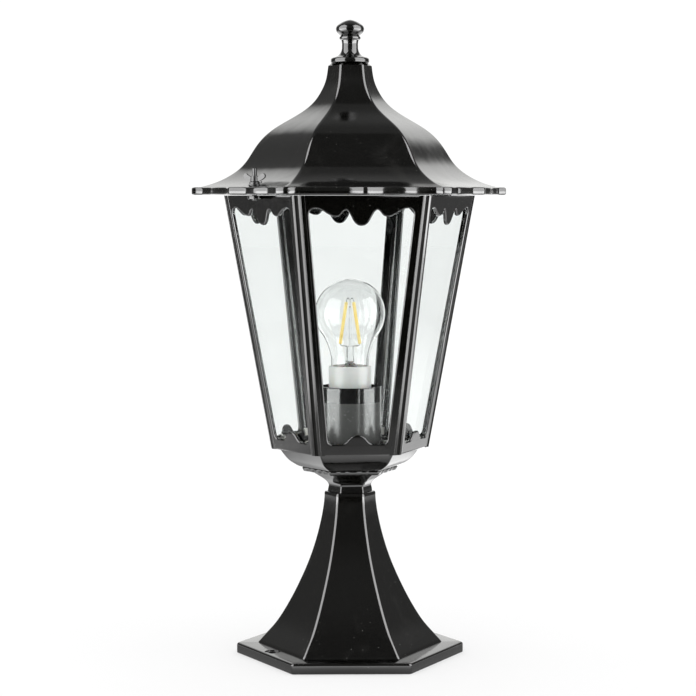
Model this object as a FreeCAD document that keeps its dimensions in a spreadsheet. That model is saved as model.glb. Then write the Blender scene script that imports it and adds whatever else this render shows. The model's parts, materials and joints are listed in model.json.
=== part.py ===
import FreeCAD, Part
import math
import os
import Sketcher

V = FreeCAD.Vector
doc = FreeCAD.newDocument("pedestal_lamp")
sheet = doc.addObject("Spreadsheet::Sheet", "dims")

# ---------------------------------------------------------------- dimensions
# millimetres and degrees; every length is the real size
DIMS = [
    # head casting twist on the pedestal
    ("head_twist", 5.2),
    # foot plate
    ("plate_rad", 98.0), ("plate_high", 9.0), ("plate_corner", 3.0),
    ("plate_skin", 4.5), ("plate_rim", 91.0), ("plate_round", 2.0),
    ("fix_pitch_rad", 76.5), ("fix_hole_rad", 3.2), ("fix_boss_rad", 8.0),
    ("fix_face_rad", 6.5),
    # pedestal column: height and corner radius of each section
    ("ped_za", 8.6), ("ped_ra", 79.9), ("ped_zb", 19.2), ("ped_rb", 70.3),
    ("ped_zc", 28.0), ("ped_rc", 62.8), ("ped_zd", 45.5), ("ped_rd", 51.9),
    ("ped_ze", 63.0), ("ped_re", 43.0), ("ped_zf", 80.3), ("ped_rf", 35.5),
    ("ped_zg", 97.7), ("ped_rg", 29.6), ("ped_zh", 115.0), ("ped_rh", 25.2),
    ("ped_zi", 130.0), ("ped_ri", 22.6), ("ped_zj", 140.5), ("ped_rj", 21.9),
    ("ped_edge", 1.8), ("ped_wall", 3.8), ("ped_deck", 6.0),
    ("tube_hole_rad", 5.2),
    # bowl under the lantern
    ("neck_za", 140.5), ("neck_ra", 19.4), ("neck_zb", 143.6), ("neck_rb", 19.0),
    ("neck_zc", 146.2), ("neck_rc", 18.6), ("neck_zd", 149.6), ("neck_rd", 20.8),
    ("neck_ze", 152.4), ("neck_re", 24.4), ("neck_zf", 158.6), ("neck_rf", 34.5),
    ("collar_z", 158.2), ("collar_high", 3.4), ("collar_ap", 35.6),
    ("bowl_za", 161.2), ("bowl_ra", 40.0), ("bowl_zb", 163.0), ("bowl_rb", 44.9),
    ("bowl_zc", 165.2), ("bowl_rc", 48.9), ("bowl_zd", 168.2), ("bowl_rd", 53.1),
    ("bowl_ze", 171.6), ("bowl_re", 56.2), ("bowl_zf", 175.0), ("bowl_rf", 58.8),
    ("bowl_zg", 177.8), ("bowl_rg", 60.8), ("bowl_edge", 2.0), ("bowl_wall", 3.4),
    ("bowl_floor", 162.0), ("boss_pitch", 50.4), ("boss_rad", 4.5), ("boss_hole", 1.7),
    # lantern cage
    ("cage_za", 178.0), ("cage_ra", 68.6), ("cage_zb", 393.5), ("cage_rb", 108.0),
    ("cage_wall", 3.0), ("cage_floor", 181.0), ("cage_mouth", 45.0), ("rib_cut", 2.0),
    ("win_half_top", 43.2), ("win_half_low", 25.6), ("win_top", 383.0), ("win_low", 187.6),
    ("lobe_low", 368.8), ("side_lobe_low", 376.4), ("hump_top", 196.2),
    ("lug_high", 3.0), ("lug_half", 7.0), ("lock_reach", 104.0), ("lock_along", 10.5),
    ("lug_hole", 2.6),
    ("hinge_reach", 99.0), ("hinge_z", 388.0), ("ear_rad", 4.8), ("ear_span", 30.0),
    ("tongue_span", 18.0), ("tongue_gap", 0.5), ("pin_rad", 1.5), ("ear_hole", 1.55),
    ("tongue_hole", 1.58), ("pin_long", 32.0),
    # panes
    ("pane_thick", 3.0), ("pane_off", 0.25), ("pane_low", 182.0), ("pane_top", 390.5),
    ("pane_inset", 5.0),
    # roof
    ("brim_z", 394.0), ("brim_slab", 6.4), ("brim_ap", 115.4), ("brim_round", 1.2),
    ("roof_za", 399.8), ("roof_ra", 129.5), ("roof_zb", 401.0), ("roof_rb", 125.4),
    ("roof_zc", 402.9), ("roof_rc", 118.8), ("roof_zd", 406.8), ("roof_rd", 108.6),
    ("roof_ze", 415.0), ("roof_re", 95.2), ("roof_zf", 423.6), ("roof_rf", 87.2),
    ("roof_zg", 432.0), ("roof_rg", 81.8), ("roof_zh", 440.5), ("roof_rh", 75.4),
    ("roof_zi", 449.0), ("roof_ri", 65.8), ("roof_zj", 457.4), ("roof_rj", 52.0),
    ("roof_zk", 465.8), ("roof_rk", 38.4), ("roof_zl", 474.2), ("roof_rl", 29.4),
    ("roof_zm", 482.7), ("roof_rm", 24.0), ("roof_zn", 491.0), ("roof_rn", 20.6),
    ("roof_zo", 503.0), ("roof_ro", 18.6), ("roof_edge", 1.8),
    ("cap_z", 505.2), ("cap_r", 16.0), ("roof_mouth", 103.6), ("roof_deck", 499.0),
    ("groove_in", 111.0), ("groove_out", 125.0), ("groove_deep", 3.2),
    ("lock_hole", 2.3), ("spot_rad", 6.2), ("spot_z", 401.6), ("top_hole", 3.2),
    # finial
    ("fin_z", 505.4), ("fin_flange", 16.4), ("fin_top", 541.8), ("ball_rad", 12.03),
    ("ball_mid", 533.9), ("ball_low", 528.4), ("bead_rad", 8.3), ("fin_neck", 6.9),
    ("fin_thread", 2.6), ("fin_bore", 14.0),
    # lock screw
    ("stud_rad", 1.95), ("stud_low", 389.2), ("stud_top", 415.8), ("wash_rad", 5.0),
    ("wash_high", 0.8), ("nut_z", 402.8), ("wing_span", 9.6), ("wing_thick", 2.0),
    # lamp holder
    ("sleeve_rad", 26.8), ("sleeve_wall", 1.8), ("sleeve_low", 176.0), ("sleeve_top", 231.0),
    ("sleeve_floor", 2.4), ("insert_rad", 21.0), ("insert_low", 184.4), ("insert_top", 226.6),
    ("insert_bore", 14.4), ("insert_floor", 199.0), ("shell_wall", 0.5), ("shell_low", 202.4),
    # threaded tube and its nuts
    ("tube_rad", 5.0), ("tube_bore", 3.6), ("tube_low", 118.0), ("tube_top", 190.0),
    ("nut_flat", 14.0), ("nut_high", 3.4), ("ring_rad", 9.0), ("ring_high", 1.2),
    # bulb
    ("bulb_rad", 30.0), ("bulb_mid", 293.2), ("bulb_neck", 16.2), ("bulb_low", 242.6),
    ("bulb_wall", 0.8), ("sock_rad", 18.2), ("sock_low", 228.0), ("sock_top", 248.4),
    ("cap_rad", 13.2), ("cap_low", 205.2), ("fil_rad", 1.5),
    # connection parts in the pedestal
    ("strap_wide", 13.0), ("strap_thick", 1.5), ("strap_drop", 62.0), ("strap_off", 11.6),
    ("block_wide", 27.0), ("block_deep", 11.0), ("block_high", 15.0), ("wire_rad", 0.9),
]
NUM = {}
for row, (alias, value) in enumerate(DIMS, start=1):
    sheet.set("A%d" % row, alias)
    sheet.set("B%d" % row, str(value))
    sheet.setAlias("B%d" % row, alias)
    NUM[alias] = float(value)
doc.recompute()


class Val:
    """A size as an expression on the sheet, with its present value."""

    def __init__(self, text, num):
        self.text = text
        self.num = num

    @staticmethod
    def of(other):
        if isinstance(other, Val):
            return other
        return Val("(%.6f)" % other, float(other))

    def __add__(self, other):
        other = Val.of(other)
        return Val("(%s + %s)" % (self.text, other.text), self.num + other.num)

    __radd__ = __add__

    def __sub__(self, other):
        other = Val.of(other)
        return Val("(%s - %s)" % (self.text, other.text), self.num - other.num)

    def __rsub__(self, other):
        return Val.of(other) - self

    def __mul__(self, other):
        other = Val.of(other)
        return Val("(%s * %s)" % (self.text, other.text), self.num * other.num)

    __rmul__ = __mul__

    def __truediv__(self, other):
        other = Val.of(other)
        return Val("(%s / %s)" % (self.text, other.text), self.num / other.num)

    def __neg__(self):
        return Val("(0 - %s)" % self.text, -self.num)


def S(alias):
    return Val("dims.%s" % alias, NUM[alias])


def cosd(a):
    return math.cos(math.radians(a))


def sind(a):
    return math.sin(math.radians(a))


# ---------------------------------------------------------------- helpers
def new_body(label, head=False):
    body = doc.addObject("PartDesign::Body", label)
    body.Label = label
    if head:
        body.Placement = FreeCAD.Placement(V(0, 0, 0), FreeCAD.Rotation(V(0, 0, 1), NUM["head_twist"]))
        body.setExpression("Placement.Rotation.Angle", "dims.head_twist * 1 deg")
    return body


def plane(body, role):
    return [o for o in body.Origin.OriginFeatures if o.Role == role][0]


def new_sketch(body, name, role, lift=None, turn=None):
    sk = body.newObject("Sketcher::SketchObject", name)
    sk.AttachmentSupport = [(plane(body, role), "")]
    sk.MapMode = "FlatFace"
    rot = FreeCAD.Rotation(V(0, 1, 0), turn) if turn is not None else FreeCAD.Rotation()
    if lift is not None or turn is not None:
        z = Val.of(lift if lift is not None else 0.0)
        sk.AttachmentOffset = FreeCAD.Placement(V(0, 0, z.num), rot)
        if lift is not None:
            sk.setExpression("AttachmentOffset.Base.z", z.text)
    return sk


def add_loop(sk, pts):
    """Closed outline. Each point is (x, y) or (x, y, bulge of the piece that follows)."""
    n = len(pts)
    xy = [(Val.of(p[0]), Val.of(p[1])) for p in pts]
    bulge = [p[2] if len(p) > 2 else 0.0 for p in pts]
    geo, ends, cons, exprs = [], [], [], []
    base = sk.GeometryCount
    for i in range(n):
        a = V(xy[i][0].num, xy[i][1].num, 0)
        b = V(xy[(i + 1) % n][0].num, xy[(i + 1) % n][1].num, 0)
        if abs(bulge[i]) < 1e-9:
            geo.append(Part.LineSegment(a, b))
            ends.append((1, 2))
        else:
            q = bulge[i]
            mid = (a + b) * 0.5
            d = b - a
            side = V(d.y, -d.x, 0)
            m = mid + side * (q * 0.5)
            arc = Part.Arc(a, m, b)
            geo.append(arc)
            ends.append((1, 2) if q > 0 else (2, 1))
    sk.addGeometry(geo, False)
    for i in range(n):
        j = (i + 1) % n
        cons.append(Sketcher.Constraint("Coincident", base + i, ends[i][1], base + j, ends[j][0]))
        exprs.append(None)
    for i in range(n):
        for kind, val, axis in (("DistanceX", xy[i][0], -2), ("DistanceY", xy[i][1], -1)):
            if abs(val.num) < 1e-9:
                cons.append(Sketcher.Constraint("PointOnObject", base + i, ends[i][0], axis))
                exprs.append(None)
            else:
                cons.append(Sketcher.Constraint(kind, -1, 1, base + i, ends[i][0], val.num))
                exprs.append(val.text)
        if abs(bulge[i]) >= 1e-9:
            q = abs(bulge[i])
            j = (i + 1) % n
            dx = xy[j][0] - xy[i][0]
            dy = xy[j][1] - xy[i][1]
            k = (1 + q * q) / (4 * q)
            rad = math.hypot(dx.num, dy.num) * k
            cons.append(Sketcher.Constraint("Radius", base + i, rad))
            exprs.append("sqrt(%s * %s + %s * %s) * %.6f" % (dx.text, dx.text, dy.text, dy.text, k))
    first = sk.ConstraintCount
    sk.addConstraint(cons)
    for i, e in enumerate(exprs):
        if e:
            sk.setExpression("Constraints[%d]" % (first + i), e)


def add_circle(sk, x, y, r):
    x, y, r = Val.of(x), Val.of(y), Val.of(r)
    base = sk.GeometryCount
    sk.addGeometry(Part.Circle(V(x.num, y.num, 0), V(0, 0, 1), r.num), False)
    first = sk.ConstraintCount
    for val, kind, axis in ((x, "DistanceX", -2), (y, "DistanceY", -1)):
        if abs(val.num) < 1e-9:
            sk.addConstraint(Sketcher.Constraint("PointOnObject", base, 3, axis))
        else:
            c = sk.addConstraint(Sketcher.Constraint(kind, -1, 1, base, 3, val.num))
            sk.setExpression("Constraints[%d]" % c, val.text)
    c = sk.addConstraint(Sketcher.Constraint("Radius", base, r.num))
    sk.setExpression("Constraints[%d]" % c, r.text)


def hexagon(rad, corner):
    """Hexagon outline, corners on the X axis, each corner rounded."""
    rad, corner = Val.of(rad), Val.of(corner)
    t = math.tan(math.radians(30))
    pts = []
    for k in range(6):
        a = 60 * k
        pts.append((rad * cosd(a) + corner * (t * cosd(a - 120)),
                    rad * sind(a) + corner * (t * sind(a - 120)), math.tan(math.radians(15))))
        pts.append((rad * cosd(a) + corner * (t * cosd(a + 120)),
                    rad * sind(a) + corner * (t * sind(a + 120))))
    return pts


def hex_section(body, name, z, rad, corner):
    sk = new_sketch(body, name, "XY_Plane", z)
    add_loop(sk, hexagon(rad, corner))
    return sk


def loft(body, name, sections, cut=False, ruled=False):
    f = body.newObject("PartDesign::SubtractiveLoft" if cut else "PartDesign::AdditiveLoft", name)
    f.Profile = sections[0]
    f.Sections = sections[1:]
    f.Ruled = ruled
    f.Closed = False
    for s in sections:
        s.Visibility = False
    doc.recompute()
    return f


def pad(body, name, sk, length, midplane=False, reverse=False):
    length = Val.of(length)
    f = body.newObject("PartDesign::Pad", name)
    f.Profile = sk
    f.Length = length.num
    f.setExpression("Length", length.text)
    f.SideType = "Symmetric" if midplane else "One side"
    f.Reversed = reverse
    doc.recompute()
    return f


def pocket(body, name, sk, length, midplane=False, reverse=False):
    length = Val.of(length)
    before = body.Shape.Volume
    f = body.newObject("PartDesign::Pocket", name)
    f.Profile = sk
    f.Length = length.num
    f.setExpression("Length", length.text)
    f.SideType = "Symmetric" if midplane else "One side"
    f.Reversed = reverse
    doc.recompute()
    if not body.Shape.Volume < before - 1e-6:
        raise RuntimeError("pocket %s of %s removed nothing" % (name, body.Label))
    return f


def turned(label, pts, head=False):
    body = new_body(label, head)
    sk = new_sketch(body, label + "_profile", "XZ_Plane")
    add_loop(sk, pts)
    f = body.newObject("PartDesign::Revolution", label + "_turn")
    f.Profile = sk
    f.ReferenceAxis = (sk, ["V_Axis"])
    f.Angle = 360
    doc.recompute()
    return body


def solid_feature(label, shape, placement=None):
    f = doc.addObject("Part::Feature", label)
    f.Label = label
    f.Shape = shape
    if placement is not None:
        f.Placement = placement
    return f


def head_turn():
    return FreeCAD.Placement(V(0, 0, 0), FreeCAD.Rotation(V(0, 0, 1), NUM["head_twist"]))


parts = []

# ---------------------------------------------------------------- pedestal
ped = new_body("pedestal")
sk = hex_section(ped, "plate_outline", 0.0, S("plate_rad"), S("plate_corner"))
plate = pad(ped, "plate", sk, S("plate_high"))
edges = []
for i, e in enumerate(ped.Shape.Edges, start=1):
    box = e.BoundBox
    if abs(box.ZMin - NUM["plate_high"]) < 1e-4 and abs(box.ZMax - NUM["plate_high"]) < 1e-4:
        edges.append("Edge%d" % i)
rnd = ped.newObject("PartDesign::Fillet", "plate_round")
rnd.Base = (plate, edges)
rnd.Radius = NUM["plate_round"]
rnd.setExpression("Radius", "dims.plate_round")
doc.recompute()
keys = "abcdefghij"
secs = [hex_section(ped, "column_" + k, S("ped_z" + k), S("ped_r" + k), S("ped_edge")) for k in keys]
loft(ped, "column", secs)
inner = [hex_section(ped, "hollow_0", S("ped_za") * 0.0 + 3.0, S("ped_ra") - S("ped_wall") * 1.1547 + 2.0, 1.0)]
for k in keys[:-2]:
    inner.append(hex_section(ped, "hollow_" + k, S("ped_z" + k), S("ped_r" + k) - S("ped_wall") * 1.1547, 1.0))
inner.append(hex_section(ped, "hollow_top", S("ped_zj") - S("ped_deck"), S("ped_rj") - S("ped_wall") * 1.1547, 1.0))
loft(ped, "hollow", inner, cut=True)
sk = hex_section(ped, "recess_outline", 0.0, S("plate_rim"), 3.0)
pocket(ped, "recess", sk, S("plate_skin"), reverse=True)
fix = [(-cosd(30), -sind(30)), (cosd(30), sind(30))]
sk = new_sketch(ped, "boss_outline", "XY_Plane")
for x, y in fix:
    add_circle(sk, S("fix_pitch_rad") * x, S("fix_pitch_rad") * y, S("fix_boss_rad"))
pad(ped, "bosses", sk, S("plate_skin") + 0.2)
sk = new_sketch(ped, "spot_outline", "XY_Plane", S("plate_high"))
for x, y in fix:
    add_circle(sk, S("fix_pitch_rad") * x, S("fix_pitch_rad") * y, S("fix_face_rad"))
pocket(ped, "spot_faces", sk, 0.6)
sk = new_sketch(ped, "fix_outline", "XY_Plane")
for x, y in fix:
    add_circle(sk, S("fix_pitch_rad") * x, S("fix_pitch_rad") * y, S("fix_hole_rad"))
pocket(ped, "fixing_holes", sk, S("plate_high") + 1.0, reverse=True)
sk = new_sketch(ped, "deck_outline", "XY_Plane", S("ped_zj") - S("ped_deck") - 2.0)
add_circle(sk, 0.0, 0.0, S("tube_hole_rad"))
pocket(ped, "deck_hole", sk, S("ped_deck") + 4.0, reverse=True)
parts.append(ped)


# ---------------------------------------------------------------- scalloped hexagon outline
def scalloped(ap, corner, u_in, u_out, u_end, d_in, d_out, d_end, b_mid, b_side, b_flat):
    """Outline of six like sides; each side has a middle lobe, two side lobes and corner lobes."""
    return six_sides(ap, [(-u_end, d_end, b_flat), (-u_out, d_out, b_side), (-u_in, d_in, b_mid),
                          (u_in, d_in, b_side), (u_out, d_out, b_flat), (u_end, d_end, corner)])


def six_sides(ap, side):
    """Closed outline that repeats one side's (along, out, bulge) points six times about the axis."""
    ap = Val.of(ap)
    pts = []
    for k in range(6):
        a = 60 * k + 30
        for u, d, b in side:
            pts.append(((ap + d) * cosd(a) - u * sind(a), (ap + d) * sind(a) + u * cosd(a), b))
    return pts


# ---------------------------------------------------------------- bowl
bowl = new_body("lantern_bowl", head=True)
keys = "abcdef"
loft(bowl, "neck", [hex_section(bowl, "neck_" + k, S("neck_z" + k), S("neck_r" + k), 1.6) for k in keys])
sk = new_sketch(bowl, "collar_outline", "XY_Plane", S("collar_z"))
add_loop(sk, scalloped(S("collar_ap"), 0.26, 5.4, 12.0, 18.9, -0.7, -0.5, 0.7, 0.24, 0.24, 0.1))
pad(bowl, "collar", sk, S("collar_high"))
keys = "abcdefg"
loft(bowl, "cup", [hex_section(bowl, "cup_" + k, S("bowl_z" + k), S("bowl_r" + k), S("bowl_edge")) for k in keys])
inner = [hex_section(bowl, "cup_in_0", S("bowl_floor"), S("bowl_rc") - S("bowl_wall") * 3.0, 2.0)]
for k in "def":
    inner.append(hex_section(bowl, "cup_in_" + k, S("bowl_z" + k), S("bowl_r" + k) - S("bowl_wall") * 1.3, 2.0))
inner.append(hex_section(bowl, "cup_in_g", S("bowl_zg") + 0.4, S("bowl_rg") - S("bowl_wall") * 1.25, 2.0))
loft(bowl, "cup_hollow", inner, cut=True)
sk = new_sketch(bowl, "boss_outline", "XY_Plane", S("bowl_zd") + 3.6)
for k in range(3):
    add_circle(sk, S("boss_pitch") * cosd(120 * k), S("boss_pitch") * sind(120 * k), S("boss_rad"))
pad(bowl, "screw_bosses", sk, S("bowl_zg") - S("bowl_zd") - 3.6)
sk = new_sketch(bowl, "boss_holes_outline", "XY_Plane", S("bowl_zg"))
for k in range(3):
    add_circle(sk, S("boss_pitch") * cosd(120 * k), S("boss_pitch") * sind(120 * k), S("boss_hole"))
pocket(bowl, "boss_holes", sk, 5.4)
sk = new_sketch(bowl, "neck_hole_outline", "XY_Plane", S("neck_za") - 1.0)
add_circle(sk, 0.0, 0.0, S("tube_hole_rad"))
pocket(bowl, "neck_hole", sk, 30.0, reverse=True)
parts.append(bowl)

# ---------------------------------------------------------------- cage
cage = new_body("lantern_cage", head=True)


def beaded(rad):
    """Hexagon whose corners carry two raised ridges with a groove between them."""
    pts = []
    steps = [(7.7, 0.0), (7.1, 0.8), (4.7, 0.8), (4.1, 1.35), (3.3, 1.6), (2.5, 1.35)]
    for k in range(6):
        a = 60 * k
        for d, n in steps:
            pts.append((rad * cosd(a) + d * cosd(a - 120) + n * cosd(a - 30),
                        rad * sind(a) + d * sind(a - 120) + n * sind(a - 30)))
        pts.append(((rad - 1.1) * cosd(a), (rad - 1.1) * sind(a)))
        for d, n in reversed(steps):
            pts.append((rad * cosd(a) + d * cosd(a + 120) + n * cosd(a + 30),
                        rad * sind(a) + d * sind(a + 120) + n * sind(a + 30)))
    return pts


def cut_hex(rad, cut):
    """Hexagon with its corners cut off flat."""
    pts = []
    for k in range(6):
        a = 60 * k
        for s in (-120, 120):
            pts.append((rad * cosd(a) + cut * (2.0 * cosd(a + s)), rad * sind(a) + cut * (2.0 * sind(a + s))))
    return pts


slope = (S("cage_rb") - S("cage_ra")) / (S("cage_zb") - S("cage_za"))


def cage_rad(z):
    return S("cage_ra") + (Val.of(z) - S("cage_za")) * slope


s_low = new_sketch(cage, "cage_low", "XY_Plane", S("cage_za"))
add_loop(s_low, beaded(S("cage_ra")))
s_top = new_sketch(cage, "cage_top", "XY_Plane", S("cage_zb"))
add_loop(s_top, beaded(S("cage_rb")))
loft(cage, "cage_wall_block", [s_low, s_top], ruled=True)
i_low = new_sketch(cage, "cage_in_low", "XY_Plane", S("cage_floor"))
add_loop(i_low, cut_hex(cage_rad(S("cage_floor")) - S("cage_wall") * 1.1547, S("rib_cut")))
i_top = new_sketch(cage, "cage_in_top", "XY_Plane", S("cage_zb") + 0.5)
add_loop(i_top, cut_hex(cage_rad(S("cage_zb") + 0.5) - S("cage_wall") * 1.1547, S("rib_cut")))
loft(cage, "cage_hollow", [i_low, i_top], cut=True, ruled=True)
sk = hex_section(cage, "floor_outline", S("cage_za") - 1.0, S("cage_mouth"), 2.0)
pocket(cage, "floor_mouth", sk, 6.0, reverse=True)
win = new_sketch(cage, "window_outline", "XZ_Plane")
ht, hl, zt, zl = S("win_half_top"), S("win_half_low"), S("win_top"), S("win_low")
right = [
    (0.0, S("hump_top")),
    (4.6, S("hump_top") - 0.7, 0.10), (8.6, S("hump_top") - 4.6), (11.6, zl + 0.2, 0.25), (14.2, zl + 0.6), (20.6, zl, 0.3),
    (hl - 0.6, zl + 4.4), (ht - 0.6, zt - 4.6, 0.38), (ht - 4.4, zt), (34.4, zt - 0.3, 0.06), (25.6, S("side_lobe_low") + 1.6, -0.36),
    (17.4, S("side_lobe_low") + 1.3), (14.9, zt - 2.4, 0.5), (10.5, zt - 2.9), (8.4, zt - 6.6), (5.4, S("lobe_low") + 2.4, -0.212),
    (0.0, S("lobe_low")),
]


def mirrored(pts):
    """Right half, from the lowest middle point up to the top one, closed by its mirror image."""
    out = list(pts)
    n = len(pts)
    for i in range(n - 2, 0, -1):
        p = pts[i]
        prev = pts[i - 1]
        b = prev[2] if len(prev) > 2 else 0.0
        out.append((-Val.of(p[0]), p[1], b))
    last = list(out[n - 1])
    b = pts[n - 2][2] if len(pts[n - 2]) > 2 else 0.0
    out[n - 1] = (last[0], last[1], b)
    return out


add_loop(win, mirrored(right))
wcut = pocket(cage, "window", win, 140.0)
pat = cage.newObject("PartDesign::PolarPattern", "windows")
pat.Originals = [wcut]
pat.Axis = (plane(cage, "Z_Axis"), [""])
pat.Angle = 360
pat.Occurrences = 6
cage.Tip = pat
doc.recompute()
# lug for the lock screw, on the left-front side
na, ta = (sind(-60), -cosd(-60)), (cosd(-60), sind(-60))


def on_side(n, t, reach, along):
    reach, along = Val.of(reach), Val.of(along)
    return (reach * n[0] + along * t[0], reach * n[1] + along * t[1])


sk = new_sketch(cage, "lug_outline", "XY_Plane", S("cage_zb") - S("lug_high"))
p0 = on_side(na, ta, 90.4, S("lock_along") - S("lug_half"))
p1 = on_side(na, ta, 90.4, S("lock_along") + S("lug_half"))
p2 = on_side(na, ta, S("lock_reach"), S("lock_along") + S("lug_half"))
p3 = on_side(na, ta, S("lock_reach"), S("lock_along") - S("lug_half"))
add_loop(sk, [p0, p3 + (0.8,), p2, p1])
add_circle(sk, *on_side(na, ta, S("lock_reach"), S("lock_along")), S("lug_hole"))
pad(cage, "lock_lug", sk, S("lug_high"))
# hinge ears on the opposite side, in the plane of the side's normal
hx, hz, er = S("hinge_reach"), S("hinge_z"), S("ear_rad")
sk = new_sketch(cage, "ear_outline", "XZ_Plane", turn=30)
add_loop(sk, [(90.6, hz + 5.3), (90.2, hz - 11.0), (hx + er * 0.7071, hz - er * 0.7071, 0.6682), (hx, hz + er)])
add_circle(sk, hx, hz, S("ear_hole"))
pad(cage, "hinge_ears", sk, S("ear_span"), midplane=True)
sk = new_sketch(cage, "ear_gap_outline", "XZ_Plane", turn=30)
add_loop(sk, [(93.4, hz - 14.0), (hx + 12.0, hz - 14.0), (hx + 12.0, hz + 8.0), (93.4, hz + 8.0)])
pocket(cage, "ear_gap", sk, S("tongue_span") + S("tongue_gap") * 2.0, midplane=True)
sk = new_sketch(cage, "flange_holes_outline", "XY_Plane", S("cage_za") - 1.0)
for k in range(3):
    add_circle(sk, S("boss_pitch") * cosd(120 * k), S("boss_pitch") * sind(120 * k), 2.2)
pocket(cage, "flange_holes", sk, 6.0, reverse=True)
cage.Label = "cage_casting"


# ---------------------------------------------------------------- pane clips and their screws
def corner_place(k, rad, z, tilt):
    """Frame on post k of the lantern: y outward, z up the leaning post."""
    a = 60 * k + NUM["head_twist"]
    rot = FreeCAD.Rotation(V(0, 0, 1), a - 90).multiply(FreeCAD.Rotation(V(1, 0, 0), -tilt))
    return FreeCAD.Placement(V(rad * cosd(a), rad * sind(a), z), rot)


post_tilt = math.degrees(math.atan2(NUM["cage_rb"] - NUM["cage_ra"], NUM["cage_zb"] - NUM["cage_za"]))
seat_gap = NUM["cage_wall"] * 1.1547
clip_rows = (186.4, 386.6)


def seat_rad(z):
    return cage_rad(z).num - seat_gap


def compound(label, shapes):
    return solid_feature(label, Part.makeCompound(shapes))


def placed(shape, placement):
    c = shape.copy()
    c.Placement = placement.multiply(c.Placement)
    return c


clip_box = doc.addObject("Part::Box", "clip_strip")
clip_box.Length, clip_box.Width, clip_box.Height = 14.6, 1.2, 6.4
clip_box.Placement = FreeCAD.Placement(V(-7.3, -1.2, -3.2), FreeCAD.Rotation())
clip_drill = doc.addObject("Part::Cylinder", "clip_drill")
clip_drill.Radius, clip_drill.Height = 1.6, 4.0
clip_drill.Placement = FreeCAD.Placement(V(0, -2.5, 0), FreeCAD.Rotation(V(1, 0, 0), -90))
clip_one = doc.addObject("Part::Cut", "clip_one")
clip_one.Base, clip_one.Tool = clip_box, clip_drill
doc.recompute()
pane_room = (NUM["pane_thick"] / cosd(9.0) + NUM["pane_off"]) * 1.1547
clip_back = pane_room + 7.3 / math.tan(math.radians(60)) + 0.35
clip_at = [corner_place(k, seat_rad(z) - clip_back, z, post_tilt) for k in range(6) for z in clip_rows]
clips = compound("pane_clips", [placed(clip_one.Shape, q) for q in clip_at])
screw_c = turned("clip_screw_one", [(0.0, -2.2), (2.3, -2.0, 0.3), (2.75, -1.2), (2.75, 0.0), (1.45, 0.0), (1.45, 10.4), (0.9, 11.0), (0.0, 11.0)])
y_out = FreeCAD.Placement(V(0, -1.2, 0), FreeCAD.Rotation(V(1, 0, 0), -90))
clip_screws = compound("clip_screws", [placed(screw_c.Shape, q.multiply(y_out)) for q in clip_at])
drill = Part.makeCylinder(1.5, 11.4, V(0, 0, 0), V(0, 0, 1))
drill_set = compound("clip_thread_holes", [placed(drill, q.multiply(y_out)) for q in clip_at])
cage_cut = doc.addObject("Part::Cut", "lantern_cage")
cage_cut.Base, cage_cut.Tool = cage, drill_set
cage_cut.Label = "lantern_cage"
doc.recompute()
parts += [cage_cut, clips, clip_screws]

# ---------------------------------------------------------------- glass panes
lean = math.degrees(math.atan((NUM["cage_rb"] - NUM["cage_ra"]) * cosd(30) / (NUM["cage_zb"] - NUM["cage_za"])))
a_low = seat_rad(NUM["pane_low"]) * cosd(30) - NUM["pane_off"]
half = (cage_rad(S("pane_low")) * cosd(30) - S("cage_wall")) * math.tan(math.radians(30)) - S("pane_inset")
half_up = (cage_rad(S("pane_top")) * cosd(30) - S("cage_wall")) * math.tan(math.radians(30)) - S("pane_inset")
tall = (S("pane_top") - S("pane_low")) / cosd(lean)
for k, name in enumerate(("front", "front_right", "back_right", "back", "back_left", "front_left")):
    pane = new_body("glass_pane_" + name)
    sk = new_sketch(pane, "pane_outline_" + name, "XZ_Plane")
    add_loop(sk, [(-half, 0.0), (half, 0.0), (half_up, tall), (-half_up, tall)])
    pad(pane, "pane_sheet_" + name, sk, S("pane_thick"), reverse=True)
    turn = FreeCAD.Rotation(V(0, 0, 1), 60 * k + NUM["head_twist"])
    pane.Placement = FreeCAD.Placement(turn.multVec(V(0, -a_low, NUM["pane_low"])),
                                       turn.multiply(FreeCAD.Rotation(V(1, 0, 0), lean)))
    parts.append(pane)

# ---------------------------------------------------------------- screws that hold the cage on the bowl
screw_m = turned("cage_screw_one", [(0.0, 0.0), (1.65, 0.0), (1.65, 8.0), (3.3, 8.0), (3.3, 9.4, 0.25), (2.6, 10.2), (0.0, 10.4)])
at = []
for k in range(3):
    a = 120 * k + NUM["head_twist"]
    at.append(FreeCAD.Placement(V(NUM["boss_pitch"] * cosd(a), NUM["boss_pitch"] * sind(a), NUM["cage_floor"] - 8.0), FreeCAD.Rotation()))
parts.append(compound("cage_screws", [placed(screw_m.Shape, q) for q in at]))

# ---------------------------------------------------------------- roof
roof = new_body("roof", head=True)
br_z, br_s, br_c = S("brim_z"), S("brim_slab"), S("brim_round")
# one side of the brim: flat beside the corner lobe, a step outward, a flat, then a pointed lobe in the middle
BRIM_SIDE = [(-62.0, 2.5, -0.12), (-56.5, -1.6, 0.02), (-42.0, -2.0, 0.04), (-31.0, 0.7, 0.03), (-14.0, 0.9, -0.06), (-2.6, 6.4, 0.22),
             (2.6, 6.4, -0.06), (14.0, 0.9, 0.03), (31.0, 0.7, 0.04), (42.0, -2.0, 0.02), (56.5, -1.6, -0.12), (62.0, 2.5, 0.262)]
rings = []
for i, (z, inset) in enumerate(((br_z, br_c), (br_z + br_c, br_c * 0.0), (br_z + br_s - br_c, br_c * 0.0), (br_z + br_s, br_c))):
    sk = new_sketch(roof, "brim_outline_%d" % i, "XY_Plane", z)
    add_loop(sk, six_sides(S("brim_ap") - inset, BRIM_SIDE))
    rings.append(sk)
loft(roof, "brim_plate", rings, ruled=True)
keys = "abcdefghijklmno"
loft(roof, "bell", [hex_section(roof, "bell_" + k, S("roof_z" + k), S("roof_r" + k), S("roof_edge")) for k in keys])
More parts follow.
